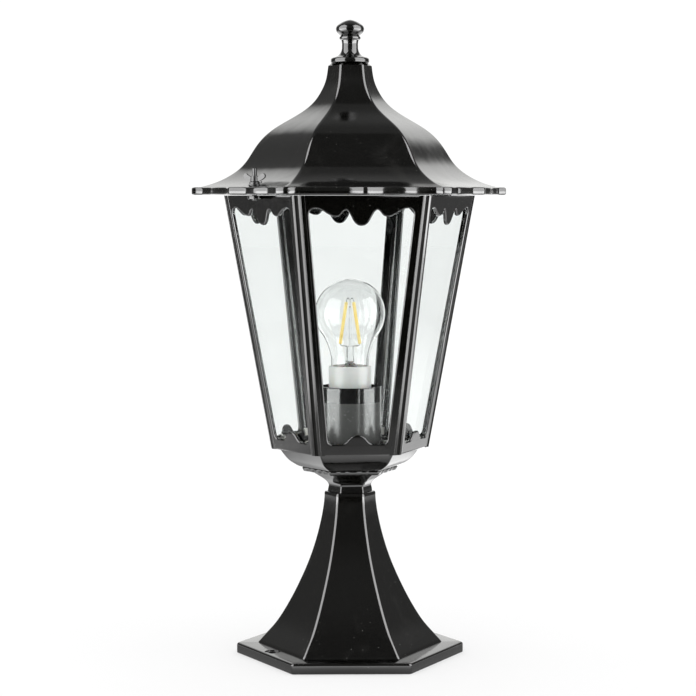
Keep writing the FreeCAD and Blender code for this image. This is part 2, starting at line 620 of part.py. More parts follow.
loft(roof, "bell_cap", [hex_section(roof, "bell_cap_low", S("roof_zo"), S("roof_ro"), S("roof_edge")),
                        hex_section(roof, "bell_cap_top", S("cap_z"), S("cap_r"), S("roof_edge"))], ruled=True)
inner = [hex_section(roof, "under_0", S("brim_z") - 1.0, S("roof_mouth"), 2.0),
         hex_section(roof, "under_1", S("brim_z") + 5.0, S("roof_mouth"), 2.0),
         hex_section(roof, "under_2", S("brim_z") + 10.0, S("roof_mouth") - 0.6, 2.0)]
for k, off in zip("efghijklmn", (5.2, 4.4, 4.0, 4.2, 4.8, 5.6, 5.2, 4.4, 3.6, 3.3)):
    inner.append(hex_section(roof, "under_" + k, S("roof_z" + k), S("roof_r" + k) - off, 1.2))
inner.append(hex_section(roof, "under_top", S("roof_deck"), S("roof_ro") - 3.2, 1.2))
loft(roof, "bell_hollow", inner, cut=True)
sk = hex_section(roof, "groove_outline", S("brim_z"), S("groove_in"), 2.0)
add_loop(sk, hexagon(S("groove_out"), 2.0))
pocket(roof, "brim_groove", sk, S("groove_deep"), reverse=True)
lock_x, lock_y = on_side(na, ta, S("lock_reach"), S("lock_along"))
sk = new_sketch(roof, "spot_face_outline", "XY_Plane", S("spot_z"))
add_circle(sk, lock_x, lock_y, S("spot_rad"))
pocket(roof, "lock_spot_face", sk, 12.0, reverse=True)
sk = new_sketch(roof, "lock_hole_outline", "XY_Plane", S("brim_z") - 1.0)
add_circle(sk, lock_x, lock_y, S("lock_hole"))
pocket(roof, "lock_hole", sk, 14.0, reverse=True)
sk = new_sketch(roof, "top_hole_outline", "XY_Plane", S("roof_deck") - 2.0)
add_circle(sk, 0.0, 0.0, S("top_hole"))
pocket(roof, "top_hole", sk, 14.0, reverse=True)
sk = new_sketch(roof, "tongue_outline", "XZ_Plane", turn=30)
add_loop(sk, [(hx - er * 0.92, hz + 10.2), (hx - er * 0.92, hz - er * 0.39, 0.7), (hx + er * 0.92, hz - er * 0.39), (hx + er * 0.92, hz + 10.2)])
add_circle(sk, hx, hz, S("tongue_hole"))
pad(roof, "hinge_tongue", sk, S("tongue_span"), midplane=True)
parts.append(roof)

# ---------------------------------------------------------------- hinge pin
pin = doc.addObject("Part::Cylinder", "hinge_pin")
pin.Label = "hinge_pin"
pin.setExpression("Radius", "dims.pin_rad")
pin.setExpression("Height", "dims.pin_long")
ha = 120 + NUM["head_twist"]
hn, htan = V(sind(ha), -cosd(ha), 0), V(cosd(ha), sind(ha), 0)
pin.Placement = FreeCAD.Placement(hn * NUM["hinge_reach"] + V(0, 0, NUM["hinge_z"]) - htan * (NUM["pin_long"] / 2.0),
                                  FreeCAD.Rotation(V(0, 0, 1), htan))
parts.append(pin)

# ---------------------------------------------------------------- finial with its screw and washer
fz, bm, br = S("fin_z"), S("ball_mid"), S("ball_rad") / 12.03
fin = turned("finial", [
    (S("fin_thread"), fz), (S("fin_flange") - 0.9, fz, 0.35), (S("fin_flange"), fz + 1.0), (S("fin_flange"), fz + 2.6, 0.35),
    (S("fin_flange") - 1.8, fz + 4.4), (10.4, fz + 6.0, -0.25), (S("fin_neck"), fz + 14.0, -0.10), (7.4, fz + 19.2),
    (8.2, fz + 19.5, 0.55), (8.3, fz + 22.4), (7.7, bm - 5.6, 0.05), (br * 10.4, bm - 3.4, 0.48),
    (br * 10.4, bm + 3.4, 0.1228), (0.6, bm + 7.9), (0.0, bm + 7.9), (0.0, fz + S("fin_bore")), (S("fin_thread"), fz + S("fin_bore"))], head=True)
parts.append(fin)
deck = S("roof_deck")
parts.append(turned("finial_washer", [(3.1, deck - 1.2), (7.0, deck - 1.2), (7.0, deck), (3.1, deck)], head=True))
parts.append(turned("finial_screw", [(0.0, deck - 5.2), (4.2, deck - 5.0, 0.3), (5.0, deck - 4.0), (5.0, deck - 1.2), (2.5, deck - 1.2),
                                     (2.5, fz + 12.0), (1.8, fz + 12.8), (0.0, fz + 12.8)], head=True))


# ---------------------------------------------------------------- lock screw with wing nut
lx, ly = lock_x.num, lock_y.num
ca, sa = cosd(NUM["head_twist"]), sind(NUM["head_twist"])
lock_base = V(lx * ca - ly * sa, lx * sa + ly * ca, 0)


def at_lock(obj, turn=0.0):
    obj.Placement = FreeCAD.Placement(lock_base, FreeCAD.Rotation(V(0, 0, 1), turn))
    return obj


sp = S("spot_z")
parts.append(at_lock(turned("lock_washer", [(2.25, sp), (S("wash_rad"), sp), (S("wash_rad"), sp + S("wash_high")), (2.25, sp + S("wash_high"))])))
sr = S("stud_rad")
parts.append(at_lock(turned("lock_stud", [(0.0, S("stud_low")), (sr - 0.5, S("stud_low")), (sr, S("stud_low") + 0.6), (sr, S("stud_top") - 0.5),
                                          (sr - 0.5, S("stud_top")), (0.0, S("stud_top"))])))
parts.append(at_lock(turned("lock_ring", [(sr, S("brim_z") + 0.9), (3.5, S("brim_z") + 0.9), (3.5, S("brim_z") + 1.7), (sr, S("brim_z") + 1.7)])))
nz = S("nut_z")
wing = turned("wing_nut", [(sr, nz), (4.3, nz), (4.3, nz + 1.4), (3.5, nz + 2.2), (3.1, nz + 6.6), (sr, nz + 6.6)])
sk = new_sketch(wing, "wing_outline", "XZ_Plane")
ws = S("wing_span")
add_loop(sk, [(2.6, nz + 2.2), (ws - 4.4, nz + 2.6, 0.1), (ws, nz + 5.2, 0.7), (ws - 2.2, nz + 8.6, -0.1), (2.6, nz + 5.6)])
add_loop(sk, [(-(ws - 4.4), nz + 2.6), (-2.6 + ws * 0.0, nz + 2.2), (-2.6 + ws * 0.0, nz + 5.6, -0.1), (-(ws - 2.2), nz + 8.6, 0.7), (-ws, nz + 5.2, 0.1)])
pad(wing, "wings", sk, S("wing_thick"), midplane=True)
parts.append(at_lock(wing, -28.0))

# ---------------------------------------------------------------- threaded tube, nuts and washers
parts.append(turned("threaded_tube", [(S("tube_bore"), S("tube_low")), (S("tube_rad"), S("tube_low")), (S("tube_rad"), S("tube_top")), (S("tube_bore"), S("tube_top"))]))
nut = new_body("tube_nut_one")
sk = hex_section(nut, "nut_outline", 0.0, S("nut_flat") / math.sqrt(3), 0.4)
add_circle(sk, 0.0, 0.0, S("tube_rad"))
pad(nut, "nut_block", sk, S("nut_high"))
deck_low = NUM["ped_zj"] - NUM["ped_deck"]
nh, rh, st = NUM["nut_high"], NUM["ring_high"], NUM["strap_thick"]
sl, sf = NUM["sleeve_low"], NUM["sleeve_floor"]
nut_z = [deck_low - st - rh - nh, NUM["bowl_floor"] + rh, sl - nh, sl + sf + rh]
parts.append(compound("tube_nuts", [placed(nut.Shape, FreeCAD.Placement(V(0, 0, z), FreeCAD.Rotation(V(0, 0, 1), 20 * i))) for i, z in enumerate(nut_z)]))
ring = turned("tube_ring_one", [(S("tube_rad") + 0.2, 0.0), (S("ring_rad"), 0.0), (S("ring_rad"), S("ring_high")), (S("tube_rad") + 0.2, S("ring_high"))])
ring_z = [deck_low - st - rh, NUM["bowl_floor"], sl + sf]
parts.append(compound("tube_washers", [placed(ring.Shape, FreeCAD.Placement(V(0, 0, z), FreeCAD.Rotation())) for z in ring_z]))

# ---------------------------------------------------------------- lamp holder
so, si = S("sleeve_rad"), S("sleeve_rad") - S("sleeve_wall")
s_low, s_top, s_flo = S("sleeve_low"), S("sleeve_top"), S("sleeve_low") + S("sleeve_floor")
parts.append(turned("lampholder_sleeve", [(S("tube_rad") + 0.2, s_low), (so - 1.5, s_low, 0.4142), (so, s_low + 1.5), (so, s_top - 0.7, 0.4142),
                                          (so - 0.7, s_top), (si, s_top), (si, s_flo), (S("tube_rad") + 0.2, s_flo)]))
ib, ir = S("insert_bore"), S("insert_rad")
parts.append(turned("lampholder_insert", [(S("tube_rad") + 0.05, S("insert_low")), (ir, S("insert_low")), (ir, S("insert_top") - 1.0), (ir - 1.0, S("insert_top")),
                                          (ib, S("insert_top")), (ib, S("insert_floor")), (S("tube_rad") + 0.05, S("insert_floor"))]))
parts.append(turned("contact_shell", [(ib - S("shell_wall"), S("shell_low")), (ib, S("shell_low")), (ib, S("insert_top") - 0.6), (ib - S("shell_wall"), S("insert_top") - 0.6)]))
leaf = doc.addObject("Part::Box", "contact_leaf")
leaf.Length, leaf.Width, leaf.Height = 4.0, 20.0, 0.8
leaf.Placement = FreeCAD.Placement(V(-2.6, -10, NUM["insert_floor"]), FreeCAD.Rotation())
leaf.setExpression("Placement.Base.z", "dims.insert_floor")
dome = doc.addObject("Part::Cone", "contact_dome")
dome.Radius1, dome.Radius2, dome.Height = 1.4, 1.0, 1.4
dome.Placement = FreeCAD.Placement(V(0, 0, NUM["insert_floor"] + 0.7), FreeCAD.Rotation())
dome.setExpression("Placement.Base.z", "dims.insert_floor + 0.7")
cc = doc.addObject("Part::Fuse", "centre_contact")
cc.Base, cc.Tool = leaf, dome
cc.Label = "centre_contact"
parts.append(cc)

# ---------------------------------------------------------------- bulb
bq, bmz, bn, bl = S("bulb_rad"), S("bulb_mid"), S("bulb_neck"), S("bulb_low")
bi = bq - S("bulb_wall")
c40, s40, tip = cosd(40), sind(40), 0.6


def dome_bulge(r):
    """Bulge of the globe's arc, from 40 degrees under its middle up to the small flat tip."""
    return math.tan(math.radians((40 + math.degrees(math.acos(tip / r.num))) / 4.0))


def dome_rise(r):
    return r * math.sqrt(1.0 - (tip / r.num) ** 2)


parts.append(turned("bulb_glass", [(bn, bl), (bn, bl + 12.0, -0.09), (bq * c40, bmz - bq * s40, dome_bulge(bq)), (tip, bmz + dome_rise(bq)), (0.0, bmz + dome_rise(bq)),
                                   (0.0, bmz + dome_rise(bi)), (tip, bmz + dome_rise(bi), -dome_bulge(bi)), (bi * c40, bmz - bi * s40, 0.09), (bn - S("bulb_wall"), bl + 12.0), (bn - S("bulb_wall"), bl)]))
sr2, s0, s1 = S("sock_rad"), S("sock_low"), S("sock_top")
parts.append(turned("bulb_collar", [(13.4, s0), (sr2 - 1.6, s0), (sr2, s0 + 2.0), (sr2, s1 - 0.5, 0.4142), (sr2 - 0.5, s1), (bn, s1), (bn, bl), (13.4, bl)]))
cr, cl = S("cap_rad"), S("cap_low")
parts.append(turned("bulb_cap", [(9.5, cl), (cr - 1.6, cl, 0.35), (cr, cl + 2.0), (cr, s0), (cr - 0.4, s0), (cr - 0.4, cl + 2.1, -0.35), (cr - 1.7, cl + 0.4), (9.5, cl + 0.4)]))
parts.append(turned("bulb_insulator", [(0.0, cl - 2.4), (4.4, cl - 2.4), (9.5, cl), (9.5, cl + 1.2), (0.0, cl + 1.2)]))
parts.append(turned("bulb_contact", [(0.0, cl - 3.4), (2.8, cl - 3.4, 0.3), (4.2, cl - 2.4), (0.0, cl - 2.4)]))
parts.append(turned("bulb_stem", [(0.0, bl + 0.2), (bn - S("bulb_wall") - 0.1, bl + 0.2), (bn - S("bulb_wall") - 0.1, bl + 1.4), (7.0, bl + 4.0, -0.2), (3.6, bl + 11.0),
                                  (3.0, bl + 21.0, 0.3), (1.1, bl + 23.0), (1.1, bl + 55.9), (0.5, bl + 56.6), (0.0, bl + 56.6)]))


def rod(p, q, r):
    d = q - p
    return Part.makeCylinder(r, d.Length, p, d)


fr = NUM["fil_rad"]
for side, name in ((-1, "filament_left"), (1, "filament_right")):
    low, top = V(side * 8.3, 0, 267.4), V(side * 3.2, 0, 302.6)
    f = doc.addObject("Part::Cylinder", name)
    f.Label = name
    f.setExpression("Radius", "dims.fil_rad")
    f.Height = (top - low).Length
    f.Placement = FreeCAD.Placement(low, FreeCAD.Rotation(V(0, 0, 1), top - low))
    parts.append(f)
wires = [rod(V(side * 3.5, 0, 261.2), V(side * 8.25, 0, 266.6), 0.3) for side in (-1, 1)]
wires.append(rod(V(0, 0, 299.3), V(0, 0, 303.3), 0.3).fuse(rod(V(-3.4, 0, 303.3), V(3.4, 0, 303.3), 0.3)))
parts.append(compound("filament_wires", wires))

# ---------------------------------------------------------------- connection parts in the pedestal
dk = S("ped_zj") - S("ped_deck")
strap = new_body("terminal_strap")
sk = new_sketch(strap, "strap_profile", "YZ_Plane")
o, t = S("strap_off"), S("strap_thick")
add_loop(sk, [(-8.6, dk - t), (o - 1.0, dk - t, -0.4142), (o, dk - t - 1.0), (o, dk - S("strap_drop")), (o + t, dk - S("strap_drop")),
              (o + t, dk - t, 0.4142), (o, dk), (-8.6, dk)])
pad(strap, "strap_bend", sk, S("strap_wide"), midplane=True)
sk = new_sketch(strap, "strap_hole_outline", "XY_Plane", dk - 3.0)
add_circle(sk, 0.0, 0.0, S("tube_rad") + 0.2)
pocket(strap, "strap_hole", sk, 4.0, reverse=True)
sk = new_sketch(strap, "strap_taps_outline", "XZ_Plane")
add_circle(sk, 0.0, 83.5, 1.5)
add_circle(sk, 0.0, 106.0, 1.7)
pocket(strap, "strap_taps", sk, 20.0)
parts.append(strap)
block = doc.addObject("Part::Box", "block_body")
for prop, alias in (("Length", "block_wide"), ("Width", "block_deep"), ("Height", "block_high")):
    block.setExpression(prop, "dims." + alias)
block.Placement = FreeCAD.Placement(V(-NUM["block_wide"] / 2, NUM["strap_off"] - NUM["block_deep"], 76.0), FreeCAD.Rotation())
holes = doc.addObject("Part::Cylinder", "block_drill")
holes.Radius, holes.Height = 1.6, 30.0
holes.Placement = FreeCAD.Placement(V(0, 14, 83.5), FreeCAD.Rotation(V(1, 0, 0), 90))
tb0 = doc.addObject("Part::Cut", "block_drilled")
tb0.Base, tb0.Tool = block, holes
doc.recompute()
pole_x = (-9.0, 9.0)
ducts = compound("block_ducts", [Part.makeCylinder(1.6, 17.0, V(x, 6.0, 75.0), V(0, 0, 1)) for x in pole_x]
                 + [Part.makeCylinder(1.0, 4.0, V(0, 6.0, 88.0), V(0, 0, 1))])
tb = doc.addObject("Part::Cut", "terminal_block")
tb.Base, tb.Tool = tb0, ducts
tb.Label = "terminal_block"
parts.append(tb)
parts.append(compound("terminal_barrels", [Part.makeCylinder(1.6, 5.0, V(x, 6.0, 76.5), V(0, 0, 1)) for x in pole_x]))
bscrew = turned("block_screw", [(0.0, 0.0), (2.6, 0.0), (2.6, 1.8), (1.45, 1.8), (1.45, 14.2), (0.0, 14.2)])
bscrew.Placement = FreeCAD.Placement(V(0, NUM["strap_off"] - NUM["block_deep"] - 1.8, 83.5), FreeCAD.Rotation(V(1, 0, 0), -90))
parts.append(bscrew)
escrew = turned("earth_screw", [(0.0, 0.0), (3.0, 0.0), (3.0, 2.0), (1.65, 2.0), (1.65, 5.4), (0.0, 5.4)])
escrew.Placement = FreeCAD.Placement(V(0, NUM["strap_off"] - 2.0, 106.0), FreeCAD.Rotation(V(1, 0, 0), -90))
parts.append(escrew)


def wire(label, pts, bend):
    """A round wire along straight runs, with an arc of one bend radius at each corner."""
    edges, at = [], pts[0]
    for i in range(1, len(pts) - 1):
        back, on = (pts[i - 1] - pts[i]).normalize(), (pts[i + 1] - pts[i]).normalize()
        half = back.getAngle(on) / 2.0
        reach = bend / math.tan(half)
        mid = pts[i] + (back + on).normalize() * (bend / math.sin(half) - bend)
        edges.append(Part.makeLine(at, pts[i] + back * reach))
        at = pts[i] + on * reach
        edges.append(Part.Arc(pts[i] + back * reach, mid, at).toShape())
    edges.append(Part.makeLine(at, pts[-1]))
    prof = Part.Wire([Part.makeCircle(NUM["wire_rad"], pts[0], pts[1] - pts[0])])
    return solid_feature(label, Part.Wire(edges).makePipeShell([prof], True, False))


parts.append(wire("wire_live", [V(-9, 6, 82.0), V(-9, 6, 98.0), V(-1.6, 0, 116.0), V(-1.6, 0, 198.9)], 5.0))
parts.append(wire("wire_neutral", [V(9, 6, 82.0), V(9, 6, 98.0), V(1.6, 0, 116.0), V(1.6, 0, 187.0), V(3.2, 0, 194.6), V(3.2, 0, 201.0), V(13.0, 0, 201.0)], 4.0))
parts.append(wire("wire_earth", [V(0, 6, 89.0), V(0, 6, 96.0), V(0.2, 8.6, 104.0)], 5.0))
doc.recompute()

# ---------------------------------------------------------------- test and write
bad = []
for obj in doc.Objects:
    if "Invalid" in obj.State or "Error" in obj.State:
        bad.append("%s %s" % (obj.Name, obj.State))
for p in parts:
    if p.Shape.isNull() or not p.Shape.isValid() or not p.Shape.Solids:
        bad.append("%s has no valid solid" % p.Label)
if bad:
    raise RuntimeError("; ".join(bad))
os.makedirs("parts", exist_ok=True)
for p in parts:
    p.Shape.exportStep("parts/%s.step" % p.Label)
    bb = p.Shape.BoundBox
    print("%-22s solids %2d  %8.2f cm3  z %.1f..%.1f" % (p.Label, len(p.Shape.Solids), p.Shape.Volume / 1000.0, bb.ZMin, bb.ZMax))
print(len(parts), "sub-parts")
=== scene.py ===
import bpy
import bmesh
import json
import math
from mathutils import Matrix, Vector


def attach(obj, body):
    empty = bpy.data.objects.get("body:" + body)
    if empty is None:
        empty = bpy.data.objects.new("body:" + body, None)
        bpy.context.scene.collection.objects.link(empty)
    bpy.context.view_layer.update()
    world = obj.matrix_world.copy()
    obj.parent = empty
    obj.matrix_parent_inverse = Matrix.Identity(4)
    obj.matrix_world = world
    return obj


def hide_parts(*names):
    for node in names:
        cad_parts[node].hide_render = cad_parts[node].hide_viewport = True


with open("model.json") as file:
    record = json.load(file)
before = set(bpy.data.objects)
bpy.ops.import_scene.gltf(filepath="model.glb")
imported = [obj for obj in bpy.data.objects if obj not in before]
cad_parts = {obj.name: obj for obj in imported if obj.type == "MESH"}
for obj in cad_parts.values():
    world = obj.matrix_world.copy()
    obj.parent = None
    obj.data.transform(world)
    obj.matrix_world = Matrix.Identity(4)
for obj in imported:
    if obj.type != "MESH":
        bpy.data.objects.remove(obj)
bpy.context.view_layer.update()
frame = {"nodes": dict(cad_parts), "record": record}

NODES = frame["nodes"]
SCENE = bpy.context.scene
MM = 0.001
TWIST = math.radians(5.2)          # the lantern is turned a little on its pedestal
HEAD = Matrix.Rotation(TWIST, 4, "Z")
FOOT = Matrix.Identity(4)
C30, T30 = math.cos(math.radians(30)), math.tan(math.radians(30))


# ---------------------------------------------------------------- outlines
def bulged(pts, closed=True, step=7.0):
    """Polyline from (x, y[, bulge]) points; a bulge is the tangent of a quarter of the arc's angle, positive to the right."""
    out = []
    n = len(pts)
    for i in range(n if closed else n - 1):
        p, q = pts[i], pts[(i + 1) % n]
        x0, y0, x1, y1 = p[0], p[1], q[0], q[1]
        b = p[2] if len(p) > 2 else 0.0
        out.append((x0, y0))
        if abs(b) > 1e-9:
            ang = 4 * math.atan(b)
            k = max(2, int(math.ceil(abs(math.degrees(ang)) / step)))
            cx = (x0 + x1) / 2 - (y1 - y0) / 2 * (1 - b * b) / (2 * b)
            cy = (y0 + y1) / 2 + (x1 - x0) / 2 * (1 - b * b) / (2 * b)
            r = math.hypot(x0 - cx, y0 - cy)
            a0 = math.atan2(y0 - cy, x0 - cx)
            for j in range(1, k):
                a = a0 + ang * j / k
                out.append((cx + r * math.cos(a), cy + r * math.sin(a)))
    if not closed:
        out.append((pts[-1][0], pts[-1][1]))
    return out


def spline(pts, per):
    """Natural cubic through (z, r) points by chord length, with so many steps a span."""
    n = len(pts)
    t = [0.0]
    for i in range(1, n):
        t.append(t[-1] + math.hypot(pts[i][0] - pts[i - 1][0], pts[i][1] - pts[i - 1][1]) ** 0.5)

    def second(v):
        a, b, c, d = [0.0] * n, [1.0] * n, [0.0] * n, [0.0] * n
        for i in range(1, n - 1):
            h0, h1 = t[i] - t[i - 1], t[i + 1] - t[i]
            a[i], b[i], c[i] = h0, 2 * (h0 + h1), h1
            d[i] = 6 * ((v[i + 1] - v[i]) / h1 - (v[i] - v[i - 1]) / h0)
        for i in range(1, n):
            w = a[i] / b[i - 1]
            b[i] -= w * c[i - 1]
            d[i] -= w * d[i - 1]
        m = [0.0] * n
        for i in range(n - 2, 0, -1):
            m[i] = (d[i] - c[i] * m[i + 1]) / b[i]
        return m

    cols = []
    for k in (0, 1):
        v = [p[k] for p in pts]
        cols.append((v, second(v)))
    out = []
    for i in range(n - 1):
        h = t[i + 1] - t[i]
        for j in range(per):
            s = j / per
            row = []
            for v, m in cols:
                a, b = 1 - s, s
                row.append(a * v[i] + b * v[i + 1] + ((a ** 3 - a) * m[i] + (b ** 3 - b) * m[i + 1]) * h * h / 6)
            out.append(tuple(row))
    out.append(tuple(pts[-1]))
    return out


class Columns:
    """Where a hexagon's rings have their points: so many a side, and so many round each corner."""

    def __init__(self, nodes, counts, corner):
        self.nodes, self.counts, self.corner = nodes, counts, corner
        end = nodes[-1]
        self.frac = []
        for i, c in enumerate(counts):
            for j in range(c):
                self.frac.append((nodes[i] + (nodes[i + 1] - nodes[i]) * j / c) / end)
        self.frac.append(1.0)

    def around(self, side, bend):
        """side(k) gives one side's (n, u) points and bend(k) the points of the corner after it, as (x, y)."""
        pts = []
        for k in range(6):
            a = math.radians(60 * k + 30)
            for n, u in side:
                pts.append((n * math.cos(a) - u * math.sin(a), n * math.sin(a) + u * math.cos(a)))
            pts += bend(k)
        return pts

    def hexagon(self, rad, rc, z):
        ap = rad * C30
        flat = rad / 2 - rc * T30
        side = [(ap, f * flat) for f in self.frac]
        mid = rad - rc / C30

        def bend(k):
            c = math.radians(60 * k + 60)
            a = math.radians(60 * k + 30)
            out = []
            for j in range(1, self.corner + 1):
                p = a + math.radians(60) * j / (self.corner + 1)
                out.append((mid * math.cos(c) + rc * math.cos(p), mid * math.sin(c) + rc * math.sin(p)))
            return out

        return [(x, y, z) for x, y in self.around(side, bend)]

    def circle(self, rad, z):
        out = []
        for x, y, _ in self.hexagon(10.0, 3.0, z):
            d = math.hypot(x, y)
            out.append((x / d * rad, y / d * rad, z))
        return out

    def scallop(self, ap, depth, bulge, corner_bulge, z):
        """depth: the nodes' offsets from the apothem; bulge: of the arcs between them."""
        side = []
        for i, c in enumerate(self.counts):
            p = (self.nodes[i], depth[i])
            q = (self.nodes[i + 1], depth[i + 1])
            side += [(ap + y, x) for x, y in arc(p, q, -bulge[i], c)[:-1]]
        side.append((ap + depth[-1], self.nodes[-1]))

        def bend(k):
            a, b = math.radians(60 * k + 30), math.radians(60 * k + 90)
            n, u = side[-1]
            p = (n * math.cos(a) - u * math.sin(a), n * math.sin(a) + u * math.cos(a))
            n, u = side[0]
            q = (n * math.cos(b) - u * math.sin(b), n * math.sin(b) + u * math.cos(b))
            return arc(p, q, corner_bulge, self.corner + 1)[1:-1]

        return [(x, y, z) for x, y in self.around(side, bend)]


def arc(p, q, b, n):
    """n + 1 points from p to q on an arc of that bulge."""
    if abs(b) < 1e-9:
        return [(p[0] + (q[0] - p[0]) * i / n, p[1] + (q[1] - p[1]) * i / n) for i in range(n + 1)]
    ang = 4 * math.atan(b)
    cx = (p[0] + q[0]) / 2 - (q[1] - p[1]) / 2 * (1 - b * b) / (2 * b)
    cy = (p[1] + q[1]) / 2 + (q[0] - p[0]) / 2 * (1 - b * b) / (2 * b)
    r = math.hypot(p[0] - cx, p[1] - cy)
    a0 = math.atan2(p[1] - cy, p[0] - cx)
    return [(cx + r * math.cos(a0 + ang * i / n), cy + r * math.sin(a0 + ang * i / n)) for i in range(n + 1)]


# ---------------------------------------------------------------- meshes
def shade(me, angle=38.0):
    me.polygons.foreach_set("use_smooth", [True] * len(me.polygons))
    me.set_sharp_from_angle(angle=math.radians(angle))


def mesh_object(name, verts, faces, place=FOOT, angle=38.0):
    me = bpy.data.meshes.new(name)
    me.from_pydata([place @ (Vector(v) * MM) for v in verts], [], faces)
    me.validate()
    bm = bmesh.new()
    bm.from_mesh(me)
    bmesh.ops.recalc_face_normals(bm, faces=bm.faces)
    bm.to_mesh(me)
    bm.free()
    shade(me, angle)
    o = bpy.data.objects.new(name, me)
    SCENE.collection.objects.link(o)
    return o


def loft_rings(rings, closed):
    n = len(rings[0])
    verts = [p for r in rings for p in r]
    faces = []
    for i in range(len(rings) if closed else len(rings) - 1):
        a, b = i * n, ((i + 1) % len(rings)) * n
        for j in range(n):
            k = (j + 1) % n
            faces.append((a + j, a + k, b + k, b + j))
    return verts, faces


def lathe(profile, seg=128):
    """Turned solid from a closed (r, z) outline; points on the axis become one vertex."""
    verts, faces, rows = [], [], []
    for r, z in profile:
        if r < 1e-6:
            rows.append([len(verts)] * seg)
            verts.append((0.0, 0.0, z))
        else:
            rows.append(list(range(len(verts), len(verts) + seg)))
            verts += [(r * math.cos(2 * math.pi * j / seg), r * math.sin(2 * math.pi * j / seg), z) for j in range(seg)]
    for i in range(len(rows)):
        a, b = rows[i], rows[(i + 1) % len(rows)]
        if a[0] == a[1] and b[0] == b[1]:
            continue
        for j in range(seg):
            k = (j + 1) % seg
            f = []
            for v in (a[j], a[k], b[k], b[j]):
                if v not in f:
                    f.append(v)
            if len(f) > 2:
                faces.append(tuple(f))
    return verts, faces


def cut(obj, tools):
    """Takes the tools' volume out of obj for good."""
    for t in tools:
        m = obj.modifiers.new("cut", "BOOLEAN")
        m.operation, m.solver, m.object = "DIFFERENCE", "EXACT", t
    dg = bpy.context.evaluated_depsgraph_get()
    me = bpy.data.meshes.new_from_object(obj.evaluated_get(dg))
    obj.modifiers.clear()
    old = obj.data
    obj.data = me
    me.name = obj.name
    bpy.data.meshes.remove(old)
    for t in tools:
        m = t.data
        bpy.data.objects.remove(t)
        bpy.data.meshes.remove(m)
    return obj


def drum(r, z0, z1, x, y, place=FOOT, seg=64):
    v, f = lathe([(0, z0), (r, z0), (r, z1), (0, z1)], seg)
    return mesh_object("tool", [(a + x, b + y, c) for a, b, c in v], f, place)


def join(name, objs, angle=38.0):
    bm = bmesh.new()
    for o in objs:
        bm.from_mesh(o.data)
    me = bpy.data.meshes.new(name)
    bm.to_mesh(me)
    bm.free()
    for o in objs:
        m = o.data
        bpy.data.objects.remove(o)
        bpy.data.meshes.remove(m)
    shade(me, angle)
    o = bpy.data.objects.new(name, me)
    SCENE.collection.objects.link(o)
    return o


def take_over(obj, node, body, mat):
    obj.data.materials.clear()
    obj.data.materials.append(mat)
    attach(obj, body)
    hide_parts(node)
    return obj


# ---------------------------------------------------------------- materials
class Tree:
    def __init__(self, name):
        self.mat = bpy.data.materials.new(name)
        self.mat.use_nodes = True
        self.t = self.mat.node_tree
        self.t.nodes.clear()
        self.out = self.t.nodes.new("ShaderNodeOutputMaterial")
        self.co = self.t.nodes.new("ShaderNodeTexCoord")

    def node(self, kind, **props):
        n = self.t.nodes.new(kind)
        for k, v in props.items():
            setattr(n, k, v)
        return n

    def link(self, a, b):
        self.t.links.new(a, b)

    def noise(self, scale, detail=2.0, rough=0.5, stretch=None, distort=0.0):
        n = self.node("ShaderNodeTexNoise")
        n.inputs["Scale"].default_value = scale
        n.inputs["Detail"].default_value = detail
        n.inputs["Roughness"].default_value = rough
        n.inputs["Distortion"].default_value = distort
        src = self.co.outputs["Object"]
        if stretch:
            m = self.node("ShaderNodeMapping")
            m.inputs["Scale"].default_value = stretch
            self.link(src, m.inputs["Vector"])
            src = m.outputs["Vector"]
        self.link(src, n.inputs["Vector"])
        return n.outputs["Fac"]

    def specks(self, scale, size):
        """1 inside small round spots, 0 elsewhere."""
        v = self.node("ShaderNodeTexVoronoi")
        v.inputs["Scale"].default_value = scale
        self.link(self.co.outputs["Object"], v.inputs["Vector"])
        return self.ramp(v.outputs["Distance"], size, 1.0, size * 1.6, 0.0)

    def ramp(self, src, x0, y0, x1, y1):
        m = self.node("ShaderNodeMapRange")
        m.clamp = True
        for i, v in zip(("From Min", "From Max", "To Min", "To Max"), (x0, x1, y0, y1)):
            m.inputs[i].default_value = v
        self.link(src, m.inputs["Value"])
        return m.outputs["Result"]

    def mix(self, fac, a, b):
        m = self.node("ShaderNodeMix", data_type="RGBA")
        self.link(fac, m.inputs["Factor"])
        for src, k in ((a, 6), (b, 7)):
            if isinstance(src, tuple):
                m.inputs[k].default_value = (*src, 1.0)
            else:
                self.link(src, m.inputs[k])
        return m.outputs[2]

    def math(self, op, a, b):
        m = self.node("ShaderNodeMath", operation=op)
        for i, v in enumerate((a, b)):
            if isinstance(v, (int, float)):
                m.inputs[i].default_value = v
            else:
                self.link(v, m.inputs[i])
        return m.outputs[0]

    def bump(self, height, strength, dist, under=None):
        b = self.node("ShaderNodeBump")
        b.inputs["Strength"].default_value = strength
        b.inputs["Distance"].default_value = dist
        self.link(height, b.inputs["Height"])
        if under is not None:
            self.link(under, b.inputs["Normal"])
        return b.outputs["Normal"]

    def principled(self, **values):
        p = self.node("ShaderNodeBsdfPrincipled")
        for k, v in values.items():
            s = p.inputs[k.replace("_", " ")]
            if isinstance(v, (int, float)):
                s.default_value = v
            elif isinstance(v, tuple):
                s.default_value = (*v, 1.0) if len(v) == 3 else v
            else:
                self.link(v, s)
        return p.outputs["BSDF"]

    def done(self, shader):
        self.link(shader, self.out.inputs["Surface"])
        return self.mat


